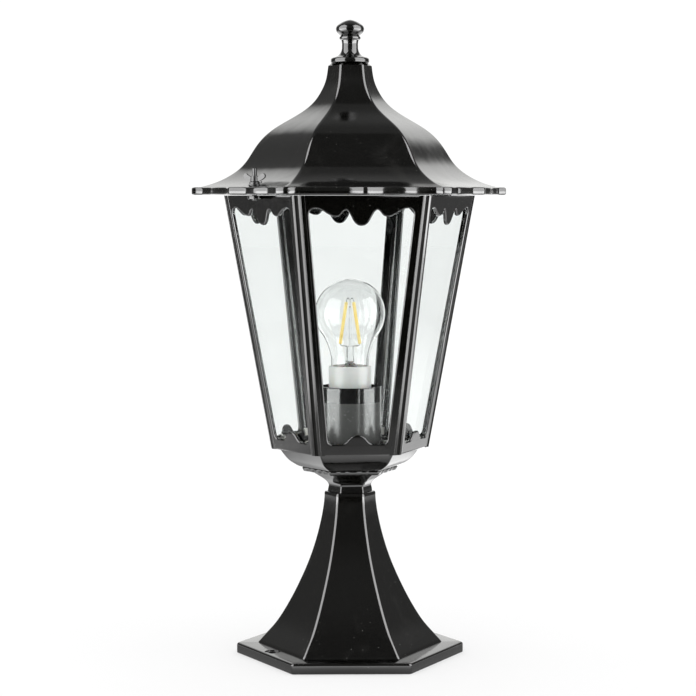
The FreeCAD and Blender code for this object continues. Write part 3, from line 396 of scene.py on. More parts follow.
def paint_material(name, dark, light, rough0, rough1, wave=0.10):
    """Gloss paint over a sand casting: slow waves, orange peel, dull hand marks and a little dust."""
    t = Tree(name)
    slow = t.noise(26.0, 2.0, 0.45)
    peel = t.noise(620.0, 2.0, 0.5)
    marks = t.noise(17.0, 6.0, 0.62, distort=0.6)
    mask = t.ramp(marks, 0.56, 0.0, 0.74, 1.0)
    dust = t.math("MULTIPLY", t.specks(210.0, 0.055), t.ramp(t.noise(9.0, 2.0), 0.48, 0.0, 0.62, 1.0))
    colour = t.mix(mask, dark, light)
    colour = t.mix(dust, colour, (0.16, 0.16, 0.15))
    rough = t.math("ADD", t.ramp(mask, 0.0, rough0, 1.0, rough1), t.ramp(t.noise(150.0, 3.0), 0.3, -0.02, 0.7, 0.03))
    n = t.bump(slow, wave, 0.004)
    n = t.bump(peel, 0.035, 0.0004, n)
    n = t.bump(dust, 0.10, 0.0002, n)
    return t.done(t.principled(Base_Color=colour, Roughness=rough, IOR=1.92, Normal=n))


def glass_material(name, tint, rough, streak=0.02):
    """Clear glass that lets lamp light through as shadow-free light."""
    t = Tree(name)
    wave = t.noise(18.0, 2.0, 0.5, stretch=(1.0, 1.0, 0.35))
    film = t.ramp(t.noise(24.0, 5.0, 0.6), 0.5, rough, 0.8, rough + 0.008)
    n = t.bump(wave, streak, 0.003)
    p = t.principled(Base_Color=tint, Roughness=film, IOR=1.38, Transmission_Weight=1.0, Normal=n)
    clear = t.node("ShaderNodeBsdfTransparent")
    clear.inputs["Color"].default_value = (*[0.9 * c for c in tint], 1.0)
    path = t.node("ShaderNodeLightPath")
    m = t.node("ShaderNodeMixShader")
    t.link(path.outputs["Is Shadow Ray"], m.inputs[0])
    t.link(p, m.inputs[1])
    t.link(clear.outputs[0], m.inputs[2])
    return t.done(m.outputs[0])


def sheet_material(name, tint):
    """Flat window glass, thin enough that what is behind it isn't shifted: a clear sheet with a faint green cast, slow waves and wiped-on film."""
    t = Tree(name)
    n = t.bump(t.noise(18.0, 2.0, 0.5, stretch=(1.0, 1.0, 0.35)), 0.03, 0.003)
    film = t.ramp(t.noise(24.0, 5.0, 0.6), 0.5, 0.015, 0.8, 0.10)
    clear = t.node("ShaderNodeBsdfTransparent")
    t.link(t.mix(t.ramp(t.noise(31.0, 4.0, 0.55), 0.35, 0.0, 0.7, 1.0), tint, tuple(0.992 * c for c in tint)), clear.inputs["Color"])
    gloss = t.node("ShaderNodeBsdfGlossy")
    t.link(film, gloss.inputs["Roughness"])
    t.link(n, gloss.inputs["Normal"])
    edge = t.node("ShaderNodeLayerWeight")
    edge.inputs["Blend"].default_value = 0.5
    t.link(n, edge.inputs["Normal"])
    part = t.math("MULTIPLY_ADD", t.math("POWER", edge.outputs["Facing"], 5.0), 0.3)
    part.node.inputs[2].default_value = 0.03
    m = t.node("ShaderNodeMixShader")
    t.link(part, m.inputs[0])
    t.link(clear.outputs[0], m.inputs[1])
    t.link(gloss.outputs[0], m.inputs[2])
    return t.done(m.outputs[0])


def metal_material(name, base, other, rough0, rough1, grain=260.0, stretch=None):
    t = Tree(name)
    g = t.noise(grain, 4.0, 0.6, stretch)
    stain = t.ramp(t.noise(60.0, 4.0, 0.6), 0.4, 0.0, 0.7, 1.0)
    n = t.bump(g, 0.10, 0.0003)
    return t.done(t.principled(Base_Color=t.mix(stain, base, other), Metallic=1.0, Roughness=t.ramp(g, 0.3, rough0, 0.7, rough1), Normal=n))


def plain_material(name, base, other, rough0, rough1, grain=400.0, bump=0.05, **more):
    """Moulded plastic, glaze or rubber: a faint cloudiness and a fine surface grain."""
    t = Tree(name)
    g = t.noise(grain, 3.0, 0.5)
    cloud = t.ramp(t.noise(45.0, 3.0, 0.5), 0.4, 0.0, 0.65, 1.0)
    n = t.bump(g, bump, 0.0003)
    return t.done(t.principled(Base_Color=t.mix(cloud, base, other), Roughness=t.ramp(g, 0.3, rough0, 0.7, rough1), Normal=n, **more))


M_PAINT = paint_material("black_gloss_paint", (0.0036, 0.0035, 0.0028), (0.0105, 0.0102, 0.0088), 0.10, 0.22)
# Painted shade: a darker, duller black that hardly reflects, put on the faces at the bottom of the posts' grooves,
# where shade falls.
M_GROOVE_SHADE = plain_material("painted_shade_in_grooves", (0.0022, 0.0021, 0.0018), (0.0050, 0.0048, 0.0042), 0.50, 0.70, Specular_IOR_Level=0.1)
def sleeve_with_painted_light(name):
    """Black moulded plastic, coloured mid-grey below as a painted reflection of the floor, with a near-black, glossier
    ring round its upper end as painted shade.
    """
    t = Tree(name)
    g = t.noise(500.0, 3.0, 0.5)
    sep = t.node("ShaderNodeSeparateXYZ")
    t.link(t.co.outputs["Object"], sep.inputs[0])
    # Painted shade: above 217.6 mm the colour turns near-black. Below it, the mid-grey stands in for floor light
    # reflected by the black plastic.
    upper_shade = t.ramp(sep.outputs["Z"], 0.2176, 0.0, 0.2182, 1.0)
    cloud = t.ramp(t.noise(45.0, 3.0, 0.5), 0.4, 0.0, 0.65, 1.0)
    colour = t.mix(upper_shade, t.mix(cloud, (0.088, 0.088, 0.085), (0.104, 0.104, 0.101)), (0.002, 0.002, 0.002))
    rough = t.math("ADD", t.ramp(upper_shade, 0.0, 0.24, 1.0, 0.13), t.ramp(g, 0.3, -0.03, 0.7, 0.04))
    return t.done(t.principled(Base_Color=colour, Roughness=rough, IOR=1.75, Normal=t.bump(g, 0.03, 0.0003)))


M_PANE = sheet_material("pane_glass", (0.9905, 1.0, 0.9965))
M_FITTING = paint_material("black_gloss_fitting", (0.004, 0.0039, 0.0035), (0.010, 0.0095, 0.0085), 0.30, 0.46, 0.04)
M_BULB = glass_material("bulb_glass", (0.958, 0.964, 0.962), 0.0, 0.01)
M_ZINC = metal_material("zinc_plated_steel", (0.55, 0.55, 0.53), (0.42, 0.41, 0.38), 0.28, 0.45)
M_BRASS = metal_material("brass", (0.72, 0.53, 0.24), (0.55, 0.38, 0.16), 0.22, 0.38)
M_WIRE = metal_material("support_wire", (0.5, 0.5, 0.5), (0.38, 0.38, 0.37), 0.2, 0.34)
M_SLEEVE = sleeve_with_painted_light("black_plastic")
M_WHITE = plain_material("white_plastic", (0.86, 0.86, 0.84), (0.80, 0.80, 0.78), 0.26, 0.4, 500.0, 0.03, Subsurface_Weight=0.15, Subsurface_Scale=0.004)
M_PORCELAIN = plain_material("porcelain", (0.80, 0.78, 0.72), (0.70, 0.68, 0.62), 0.1, 0.2, 200.0, 0.05)
M_BLACKGLASS = plain_material("black_glass", (0.012, 0.012, 0.016), (0.02, 0.02, 0.024), 0.06, 0.14)
M_FILAMENT = plain_material("filament_coat", (0.98, 0.72, 0.20), (1.0, 0.80, 0.30), 0.45, 0.7, 900.0, 0.2)
M_BROWN = plain_material("brown_insulation", (0.16, 0.07, 0.03), (0.22, 0.10, 0.05), 0.35, 0.5)
M_BLUE = plain_material("blue_insulation", (0.02, 0.09, 0.36), (0.03, 0.13, 0.44), 0.35, 0.5)
M_GREEN = plain_material("green_insulation", (0.06, 0.30, 0.05), (0.30, 0.34, 0.04), 0.35, 0.5)

BY_SLOT = {
    "black_paint": M_PAINT, "pane_glass": M_PANE, "bulb_glass": M_BULB, "zinc_steel": M_ZINC, "blackened_steel": M_FITTING,
    "black_plastic": M_SLEEVE, "porcelain": M_PORCELAIN, "brass": M_BRASS, "white_plastic": M_WHITE, "black_glass": M_BLACKGLASS,
    "filament_yellow": M_FILAMENT, "support_wire": M_WIRE, "brown_insulation": M_BROWN, "blue_insulation": M_BLUE, "green_insulation": M_GREEN,
}
for part in frame["record"]["subparts"]:
    o = NODES[part["node"]]
    o.data.materials.clear()
    o.data.materials.append(BY_SLOT[part["material_slot"]])


# ---------------------------------------------------------------- even shading on the parts that keep their own shape
def shading_group():
    g = bpy.data.node_groups.new("even_shading", "GeometryNodeTree")
    g.interface.new_socket("Geometry", in_out="INPUT", socket_type="NodeSocketGeometry")
    g.interface.new_socket("Geometry", in_out="OUTPUT", socket_type="NodeSocketGeometry")
    i, o = g.nodes.new("NodeGroupInput"), g.nodes.new("NodeGroupOutput")
    weld = g.nodes.new("GeometryNodeMergeByDistance")
    weld.inputs["Distance"].default_value = 2e-6
    face = g.nodes.new("GeometryNodeSetShadeSmooth")
    face.domain = "FACE"
    edge = g.nodes.new("GeometryNodeSetShadeSmooth")
    edge.domain = "EDGE"
    ang = g.nodes.new("GeometryNodeInputMeshEdgeAngle")
    less = g.nodes.new("FunctionNodeCompare")
    less.data_type, less.operation = "FLOAT", "LESS_THAN"
    less.inputs[1].default_value = math.radians(32)
    g.links.new(i.outputs[0], weld.inputs["Geometry"])
    g.links.new(weld.outputs[0], face.inputs["Geometry"])
    g.links.new(face.outputs[0], edge.inputs["Geometry"])
    g.links.new(ang.outputs["Unsigned Angle"], less.inputs[0])
    g.links.new(less.outputs[0], edge.inputs["Shade Smooth"])
    g.links.new(edge.outputs[0], o.inputs[0])
    return g


EVEN = shading_group()
for o in NODES.values():
    m = o.modifiers.new("even_shading", "NODES")
    m.node_group = EVEN

# ---------------------------------------------------------------- pedestal
PLAIN = Columns([-1.0, -0.94, -0.8, 0.0, 0.8, 0.94, 1.0], [2, 3, 9, 9, 3, 2], 6)
PED = [(140.5, 21.9), (130.0, 22.6), (115.0, 25.2), (97.7, 29.6), (80.3, 35.5), (63.0, 43.0), (45.5, 51.9), (28.0, 62.8), (19.2, 70.3), (8.6, 79.9)]
rings = [PLAIN.circle(5.2, 140.5), PLAIN.hexagon(21.2, 1.4, 140.5)]
outer = spline(PED, 7)
rings += [PLAIN.hexagon(21.7, 1.7, 140.3)]
for z, r in outer[1:]:
    if z > 9.4:
        rings.append(PLAIN.hexagon(r + 0.1547 * 3.0, 3.2, z))
rings.append(PLAIN.hexagon(79.5, 1.9, 9.05))
rings.append(PLAIN.hexagon(80.2, 2.0, 9.0))
for k in range(6):
    a = math.radians(90 - 18 * k)
    rings.append(PLAIN.hexagon(98.0 - (2.0 - 2.0 * math.cos(a)) * 1.1547, 3.0, 7.0 + 2.0 * math.sin(a)))
for z, r in ((0.7, 98.0), (0.2, 97.8), (0.0, 97.3), (0.0, 91.6), (0.3, 91.0), (4.5, 91.0), (4.5, 78.0)):
    rings.append(PLAIN.hexagon(r, 3.0, z))
inner = [(z, r - 4.39) for z, r in PED[1:]]
inner = [(134.5, 17.5)] + inner[2:]
for z, r in reversed(spline(inner, 3)):
    rings.append(PLAIN.hexagon(r, 1.0, z))
rings.append(PLAIN.circle(5.2, 134.5))
pedestal = mesh_object("pedestal_casting", *loft_rings(rings, True))
FIX = [(-76.5 * C30, -38.25), (76.5 * C30, 38.25)]
tools = []
for x, y in FIX:
    v, f = lathe([(0, -1.0), (3.2, -1.0), (3.2, 8.4), (6.5, 8.4), (6.5, 12.0), (0, 12.0)], 64)
    tools.append(mesh_object("tool", [(a + x, b + y, c) for a, b, c in v], f))
cut(pedestal, tools)
shade(pedestal.data)
take_over(pedestal, "pedestal", "lantern", M_PAINT)

# ---------------------------------------------------------------- roof
BRIM = Columns([-62.0, -56.5, -42.0, -31.0, -14.0, -2.6, 2.6, 14.0, 31.0, 42.0, 56.5, 62.0], [5, 4, 5, 4, 8, 8, 8, 4, 5, 4, 5], 6)
BRIM_D = [2.5, -1.6, -2.0, 0.7, 0.9, 6.4, 6.4, 0.9, 0.7, -2.0, -1.6, 2.5]
BRIM_B = [-0.12, 0.02, 0.04, 0.03, -0.06, 0.22, -0.06, 0.03, 0.04, 0.02, -0.12]
BELL = [(503.0, 18.6), (491.0, 20.6), (482.7, 24.0), (474.2, 29.4), (465.8, 38.4), (457.4, 52.0), (449.0, 65.8), (440.5, 75.4), (432.0, 81.8),
        (423.6, 87.2), (415.0, 95.2), (406.8, 108.6), (402.9, 118.8), (401.0, 125.4), (399.8, 129.5)]


def brim(inset, z):
    return BRIM.scallop(115.4 - inset, BRIM_D, BRIM_B, 0.262, z)


rings = [BRIM.circle(3.2, 505.2), BRIM.hexagon(15.6, 1.6, 505.2), BRIM.hexagon(16.0, 1.8, 505.1), BRIM.hexagon(18.3, 1.8, 503.3)]
for z, r in spline(BELL, 7):
    if z > 400.75:
        rings.append(BRIM.hexagon(r + 0.1547 * 3.0, 3.2, z))
rings.append(BRIM.hexagon(127.4, 2.0, 400.45))
rings.append(BRIM.hexagon(128.2, 2.2, 400.4))
for inset, z in ((1.5, 400.4), (0.7, 400.15), (0.2, 399.7), (0.0, 399.0), (0.0, 395.4), (0.2, 394.7), (0.7, 394.25), (1.5, 394.0)):
    rings.append(brim(inset, z))
for z, r in ((394.0, 125.4), (394.4, 125.0), (397.2, 125.0), (397.2, 111.0), (394.4, 111.0), (394.0, 110.6), (394.0, 104.0), (394.4, 103.6)):
    rings.append(BRIM.hexagon(r, 2.0, z))
HOLLOW = [(399.0, 103.6), (404.0, 103.0), (415.0, 90.0), (423.6, 82.8), (432.0, 77.8), (440.5, 71.2), (449.0, 61.0), (457.4, 46.4), (465.8, 33.2),
          (474.2, 25.0), (482.7, 20.4), (491.0, 17.3), (499.0, 15.4)]
for z, r in spline(HOLLOW, 3):
    rings.append(BRIM.hexagon(r, 1.2, z))
rings.append(BRIM.circle(3.2, 499.0))
roof = mesh_object("roof_casting", *loft_rings(rings, True), place=HEAD)
NA, TA = (math.sin(math.radians(-60)), -math.cos(math.radians(-60))), (math.cos(math.radians(-60)), math.sin(math.radians(-60)))
LOCK = (104.0 * NA[0] + 10.5 * TA[0], 104.0 * NA[1] + 10.5 * TA[1])
v, f = lathe([(0, 390.0), (2.3, 390.0), (2.3, 401.6), (6.2, 401.6), (6.2, 416.0), (0, 416.0)], 64)
cut(roof, [mesh_object("tool", [(a + LOCK[0], b + LOCK[1], c) for a, b, c in v], f, HEAD)])
shade(roof.data)


# ---------------------------------------------------------------- plates cut from outlines
def plate(name, loops, thick, edge, to_space):
    """Flat plate with rounded edges from closed outlines (the first is the rim, others are holes), carried into space by to_space(x, y, w)."""
    cu = bpy.data.curves.new(name, "CURVE")
    cu.dimensions, cu.fill_mode = "2D", "BOTH"
    cu.extrude, cu.bevel_depth, cu.bevel_resolution, cu.offset = thick / 2 - edge, edge, 3, -edge
    for loop in loops:
        s = cu.splines.new("POLY")
        s.points.add(len(loop) - 1)
        for p, (x, y) in zip(s.points, loop):
            p.co = (x, y, 0.0, 1.0)
        s.use_cyclic_u = True
    o = bpy.data.objects.new(name, cu)
    SCENE.collection.objects.link(o)
    dg = bpy.context.evaluated_depsgraph_get()
    me = bpy.data.meshes.new_from_object(o.evaluated_get(dg))
    bpy.data.objects.remove(o)
    bpy.data.curves.remove(cu)
    verts = [to_space(p.co.x, p.co.y, p.co.z) for p in me.vertices]
    faces = [tuple(p.vertices) for p in me.polygons]
    bpy.data.meshes.remove(me)
    bm = bmesh.new()
    vs = [bm.verts.new(v) for v in verts]
    for f in faces:
        try:
            bm.faces.new([vs[i] for i in f])
        except ValueError:
            pass
    bmesh.ops.remove_doubles(bm, verts=bm.verts, dist=0.001)
    bm.verts.index_update()
    out = ([tuple(v.co) for v in bm.verts], [tuple(v.index for v in f.verts) for f in bm.faces])
    bm.free()
    return out


def side_frame(turn_deg):
    """Frame of one side of the lantern: outward, along and up."""
    a = math.radians(turn_deg)
    return (math.sin(a), -math.cos(a)), (math.cos(a), math.sin(a))


HN, HT = side_frame(120)


def on_hinge_side(x, y, w):
    return (HN[0] * x + HT[0] * w, HN[1] * x + HT[1] * w, y)


tongue = bulged([(99.0 - 4.8 * 0.92, 398.2), (99.0 - 4.8 * 0.92, 388.0 - 4.8 * 0.39, 0.7), (99.0 + 4.8 * 0.92, 388.0 - 4.8 * 0.39), (99.0 + 4.8 * 0.92, 398.2)])
hole = [(99.0 + 1.58 * math.cos(2 * math.pi * i / 32), 388.0 + 1.58 * math.sin(2 * math.pi * i / 32)) for i in range(32)]
piece = mesh_object("tongue", *plate("tongue", [tongue, hole], 18.0, 0.4, on_hinge_side), place=HEAD)
roof = join("roof_casting.whole", [roof, piece])
take_over(roof, "roof", "roof", M_PAINT)

# ---------------------------------------------------------------- finial
FZ, BM = 505.4, 533.9
v, f = lathe(bulged([
    (2.6, FZ), (15.5, FZ, 0.35), (16.4, FZ + 1.0), (16.4, FZ + 2.6, 0.35), (14.6, FZ + 4.4), (10.4, FZ + 6.0, -0.25), (6.9, FZ + 14.0, -0.10), (7.4, FZ + 19.2),
    (8.2, FZ + 19.5, 0.55), (8.3, FZ + 22.4), (7.7, BM - 5.6, 0.05), (10.4, BM - 3.4, 0.48), (10.4, BM + 3.4, 0.1228), (0.6, BM + 7.9), (0.0, BM + 7.9),
    (0.0, FZ + 14.0), (2.6, FZ + 14.0)], True, 5.0), 128)
take_over(mesh_object("finial_turned", v, f, HEAD), "finial", "roof", M_PAINT)

# ---------------------------------------------------------------- bowl
COLLAR = Columns([-18.9, -12.0, -5.4, 5.4, 12.0, 18.9], [6, 8, 10, 8, 6], 6)
COLLAR_D, COLLAR_B = [0.7, -0.5, -0.7, -0.7, -0.5, 0.7], [0.10, 0.24, 0.24, 0.24, 0.10]
NECK = [(140.5, 19.4), (143.6, 19.0), (146.2, 18.6), (149.6, 20.8), (152.4, 24.4), (158.6, 34.5)]
CUP = [(161.2, 40.0), (163.0, 44.9), (165.2, 48.9), (168.2, 53.1), (171.6, 56.2), (175.0, 58.8), (177.8, 60.8)]


def collar(inset, z):
    return COLLAR.scallop(35.6 - inset, COLLAR_D, COLLAR_B, 0.26, z)


rings = [COLLAR.circle(5.2, 140.5), COLLAR.hexagon(19.0, 1.4, 140.5)]
for z, r in spline(NECK, 6):
    if z < 158.0:
        rings.append(COLLAR.hexagon(r, 1.6, max(z, 140.7)))
rings.append(COLLAR.hexagon(34.0, 1.6, 158.2))
for inset, z in ((2.1, 158.2), (1.62, 158.3), (1.30, 158.65), (0.86, 159.5), (0.40, 160.4), (0.18, 160.9), (0.22, 161.25), (0.6, 161.5), (1.3, 161.6)):
    rings.append(collar(inset, z))
for z, r in spline(CUP, 5):
    if z > 161.9:
        rings.append(COLLAR.hexagon(r, 2.0, z))
rings.append(COLLAR.hexagon(60.5, 2.0, 177.95))
rings.append(COLLAR.hexagon(57.0, 2.0, 177.95))
for z, r in spline([(177.6, 56.5), (175.0, 54.4), (171.6, 51.8), (168.2, 48.7), (162.4, 39.4)], 4):
    rings.append(COLLAR.hexagon(r, 2.0, z))
rings.append(COLLAR.hexagon(38.4, 2.0, 162.0))
rings.append(COLLAR.circle(5.2, 162.0))
bowl = mesh_object("bowl_casting", *loft_rings(rings, True), place=HEAD)
take_over(bowl, "lantern_bowl", "lantern", M_PAINT)

# ---------------------------------------------------------------- cage: six framed windows, six two-ridged posts, a floor, the lug and the hinge ears
def cage_rad(z):
    return 68.6 + (z - 178.0) * 39.4 / 215.5


def flowing(pts, per, closed=False):
    """Catmull-Rom through the points."""
    out, n = [], len(pts)
    for i in range(n if closed else n - 1):
        a, b, c, d = (pts[(i + k) % n] if closed else pts[min(max(i + k, 0), n - 1)] for k in (-1, 0, 1, 2))
        for j in range(per):
            t = j / per
            out.append(tuple(0.5 * (2 * b[k] + (c[k] - a[k]) * t + (2 * a[k] - 5 * b[k] + 4 * c[k] - d[k]) * t * t
                                    + (3 * b[k] - a[k] - 3 * c[k] + d[k]) * t ** 3) for k in range(len(b))))
    if not closed:
        out.append(tuple(pts[-1]))
    return out


LOW = [(0.0, 195.3), (2.6, 195.0), (5.0, 194.0), (7.2, 192.1), (9.0, 190.0), (10.8, 188.4), (12.8, 187.9), (15.6, 188.1), (18.8, 187.7), (21.6, 187.7),
       (23.6, 188.8), (24.7, 190.8), (25.1, 193.4)]
TOP = [(42.6, 377.2), (42.3, 380.2), (40.6, 382.3), (37.6, 383.0), (34.6, 382.4), (31.2, 380.7), (27.8, 378.6), (24.6, 377.0), (21.6, 376.3), (18.8, 376.7),
       (16.6, 378.4), (14.8, 380.7), (12.8, 381.8), (10.8, 380.4), (9.0, 377.4), (7.2, 374.0), (5.2, 371.2), (2.8, 369.4), (0.0, 368.8)]
half = flowing(LOW, 4) + flowing(TOP, 4)
WINDOW = half + [(-u, z) for u, z in reversed(half[1:-1])]
cage_bits = []
for k in range(6):
    a = math.radians(60 * k + 30)

    def on_side(u, z, w, a=a):
        n = cage_rad(z) * C30 + w - 1.5
        return (n * math.cos(a) - u * math.sin(a), n * math.sin(a) + u * math.cos(a), z)

    rim = [(cage_rad(178.0) / 2 - 3.0, 178.0), (cage_rad(393.5) / 2 - 3.0, 393.5), (3.0 - cage_rad(393.5) / 2, 393.5), (3.0 - cage_rad(178.0) / 2, 178.0)]
    cage_bits.append(mesh_object("bit", *plate("bit", [rim, WINDOW], 3.0, 1.25, on_side), place=HEAD))
# one post: (d along the side from the corner, n out of the side)
bead = [(2.9, -2.9), (8.0, -2.9), (8.0, -1.4), (7.6, -0.12), (7.2, 0.04), (6.6, 0.06), (4.6, 0.06), (4.25, 0.07), (4.15, 0.12), (4.08, 0.5)]
bead += [(4.0, 0.82), (3.85, 0.93), (3.65, 0.90), (3.2, 0.69), (2.2, 0.225), (2.0, 0.11), (1.88, -0.05), (1.72, -0.4), (1.5, -0.8)]
for k in range(6):
    a = math.radians(60 * k)

    def corner(z, d, n, s, a=a):
        r = cage_rad(z)
        b, c = a + s * math.radians(120), a + s * math.radians(30)
        return (r * math.cos(a) + d * math.cos(b) + n * math.cos(c), r * math.sin(a) + d * math.sin(b) + n * math.sin(c), z)

    rows = []
    for z in (178.0, 178.4, 232.0, 285.0, 339.0, 392.9, 393.5):
        grow = -0.35 if z in (178.0, 393.5) else 0.0
        row = [corner(z, d, n + (grow if n > 0.3 else 0.0), -1) for d, n in bead]
        row.append(((cage_rad(z) - 1.5) * math.cos(a), (cage_rad(z) - 1.5) * math.sin(a), z))
        row += [corner(z, d, n + (grow if n > 0.3 else 0.0), 1) for d, n in reversed(bead)]
        rows.append(row)
    v, f = loft_rings(rows, False)
    m = len(rows[0])
    f += [tuple(range(m)), tuple(range(6 * m, 7 * m))]
    bit = mesh_object("bit", v, f, place=HEAD)
    # The faces at the bottom of each post's groove take material 1, the painted groove shade.
    for face in bit.data.polygons:
        if len(face.vertices) == 4 and all(abs(i % m - len(bead)) <= 3 for i in face.vertices):
            face.material_index = 1
    cage_bits.append(bit)
rings = [PLAIN.hexagon(r, 2.0, z) for r, z in ((45.0, 178.3), (45.3, 178.0), (66.4, 178.0), (66.8, 181.0), (45.3, 181.0), (45.0, 180.7))]
cage_bits.append(mesh_object("bit", *loft_rings(rings, True), place=HEAD))


def on_lug(x, y, w):
    return (NA[0] * x + TA[0] * y, NA[1] * x + TA[1] * y, 392.0 + w)


lug = bulged([(90.4, 3.5), (104.0, 3.5, 0.8), (104.0, 17.5), (90.4, 17.5)])
hole = [(104.0 + 2.6 * math.cos(2 * math.pi * i / 32), 10.5 + 2.6 * math.sin(2 * math.pi * i / 32)) for i in range(32)]
cage_bits.append(mesh_object("bit", *plate("bit", [lug, hole], 3.0, 0.5, on_lug), place=HEAD))
ear = bulged([(90.6, 393.3), (90.2, 377.0), (99.0 + 4.8 * 0.7071, 388.0 - 4.8 * 0.7071, 0.6682), (99.0, 392.8)])
hole = [(99.0 + 1.55 * math.cos(2 * math.pi * i / 32), 388.0 + 1.55 * math.sin(2 * math.pi * i / 32)) for i in range(32)]
for at in (-12.25, 12.25):
    cage_bits.append(mesh_object("bit", *plate("bit", [ear, hole], 5.5, 0.5, lambda x, y, w, at=at: on_hinge_side(x, y, w + at)), place=HEAD))
cage = join("cage_casting", cage_bits, 42.0)
even = cage.modifiers.new("flat_faces", "WEIGHTED_NORMAL")
even.mode, even.weight, even.keep_sharp = "FACE_AREA", 50, True
cage.data.materials.append(M_PAINT)
cage.data.materials.append(M_GROOVE_SHADE)
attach(cage, "lantern")
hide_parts("lantern_cage")

# ---------------------------------------------------------------- lamp holder and bulb
v, f = lathe(bulged([(5.2, 176.0), (25.3, 176.0, 0.4142), (26.8, 177.5), (26.8, 230.3, 0.4142), (26.1, 231.0), (25.0, 231.0), (25.0, 178.4), (5.2, 178.4)], True, 6.0), 160)
take_over(mesh_object("lampholder_tube", v, f), "lampholder_sleeve", "lantern", M_SLEEVE)
BL, BC, BR, BI = 242.6, 293.2, 30.0, 29.2
c40, s40 = math.cos(math.radians(40)), math.sin(math.radians(40))


def crown(r):
    return math.tan(math.radians((40 + math.degrees(math.acos(0.6 / r))) / 4.0))


def rise(r):
    return r * math.sqrt(1.0 - (0.6 / r) ** 2)


v, f = lathe(bulged([(16.2, BL), (16.2, BL + 12.0, -0.09), (BR * c40, BC - BR * s40, crown(BR)), (0.6, BC + rise(BR)), (0.0, BC + rise(BR)),
                     (0.0, BC + rise(BI)), (0.6, BC + rise(BI), -crown(BI)), (BI * c40, BC - BI * s40, 0.09), (15.4, BL + 12.0), (15.4, BL)], True, 3.0), 160)
take_over(mesh_object("bulb_envelope", v, f), "bulb_glass", "bulb", M_BULB)
v, f = lathe(bulged([(13.4, 228.0), (16.6, 228.0), (18.2, 230.0), (18.2, 247.9, 0.4142), (17.7, 248.4), (16.2, 248.4), (16.2, BL), (13.4, BL)], True, 8.0), 160)
take_over(mesh_object("bulb_base_ring", v, f), "bulb_collar", "bulb", M_WHITE)

def tube(name, path, radius, seg=20):
    """Rod with round ends along a path of (x, y, z) points; radius is a number or a function of the share of the length."""
    rows = []
    pts = [Vector(p) for p in path]
    n = len(pts)
    for i, p in enumerate(pts):
        d = (pts[min(i + 1, n - 1)] - pts[max(i - 1, 0)]).normalized()
        u = d.cross(Vector((0, 1, 0))).normalized()
        w = d.cross(u)
        r = radius(i / (n - 1)) if callable(radius) else radius
        steps = [(0.0, 1.0)]
        if i == 0:
            steps = [(-math.cos(t), math.sin(t)) for t in (0.12, 0.5, 0.9, 1.25)] + steps
        if i == n - 1:
            steps = steps + [(math.cos(t), math.sin(t)) for t in (1.25, 0.9, 0.5, 0.12)]
        for along, part in steps:
            rows.append([tuple(p + d * along * r * 0.6 + (u * math.cos(2 * math.pi * j / seg) + w * math.sin(2 * math.pi * j / seg)) * r * part) for j in range(seg)])
    v, f = loft_rings(rows, False)
    f += [tuple(range(seg)), tuple(range(len(v) - seg, len(v)))]
    return mesh_object(name, v, f, angle=60.0)


for sgn, node in ((-1, "filament_left"), (1, "filament_right")):
    run = [(sgn * (8.3 - 5.1 * i / 60), 0.0, 267.9 + 34.2 * i / 60) for i in range(61)]
    rod = tube(node + ".coat", run, lambda t: 1.42 + 0.06 * math.sin(t * 28 * 2 * math.pi))
    take_over(rod, node, "bulb", M_FILAMENT)
wires = []
for sgn in (-1, 1):
    wires.append(tube("bit", flowing([(sgn * 8.35, 0, 268.2), (sgn * 8.1, 0, 266.6), (sgn * 6.8, 0, 265.6), (sgn * 4.2, 0, 265.4), (sgn * 2.6, 0, 264.6), (sgn * 2.2, 0, 262.0), (sgn * 2.2, 0, 256.0)], 5), 0.42, 12))
wires.append(tube("bit", flowing([(-3.2, 0, 301.8), (-3.0, 0, 304.2), (-2.2, 0, 306.0), (-1.1, 0, 305.9), (0, 0, 304.4), (1.1, 0, 305.9), (2.2, 0, 306.0), (3.0, 0, 304.2), (3.2, 0, 301.8)], 5), 0.4, 12))
wires.append(tube("bit", [(0, 0, 298.4), (0, 0, 300.6), (0, 0, 302.8), (0, 0, 304.6)], 0.4, 12))
take_over(join("filament_leads", wires, 60.0), "filament_wires", "bulb", M_WIRE)

# ---------------------------------------------------------------- floor
v = [(-15000, -15000, -0.2), (15000, -15000, -0.2), (15000, 15000, -0.2), (-15000, 15000, -0.2)]
floor = mesh_object("floor", v, [(0, 1, 2, 3)])
t = Tree("pale_floor")
cloud = t.ramp(t.noise(1.6, 3.0, 0.5), 0.35, 0.0, 0.65, 1.0)
matt = t.principled(Base_Color=t.mix(cloud, (0.40, 0.40, 0.40), (0.385, 0.385, 0.385)), Roughness=0.8, Specular_IOR_Level=0.0)
glow = t.node("ShaderNodeEmission")
glow.inputs["Strength"].default_value = 0.50
both = t.node("ShaderNodeAddShader")
t.link(matt, both.inputs[0])
t.link(glow.outputs[0], both.inputs[1])
wide = t.node("ShaderNodeVectorMath", operation="MULTIPLY")
wide.inputs[1].default_value = (0.68, 1.0, 0.0)
shift = t.node("ShaderNodeVectorMath", operation="SUBTRACT")
shift.inputs[1].default_value = (0.0, 0.0, 0.0)
t.link(t.co.outputs["Object"], shift.inputs[0])
t.link(shift.outputs[0], wide.inputs[0])
far = t.node("ShaderNodeVectorMath", operation="LENGTH")
t.link(wide.outputs[0], far.inputs[0])
pool = t.node("ShaderNodeEmission")
near = t.math("ADD", t.ramp(far.outputs["Value"], 0.16, 1.35, 0.26, 0.0), t.ramp(far.outputs["Value"], 0.26, 0.65, 0.70, 0.0))
near = t.math("MULTIPLY", near, t.ramp(far.outputs["Value"], 0.09, 0.2, 0.18, 1.0))
at = t.node("ShaderNodeSeparateXYZ")
t.link(t.co.outputs["Object"], at.inputs[0])
reach = t.node("ShaderNodeVectorMath", operation="LENGTH")
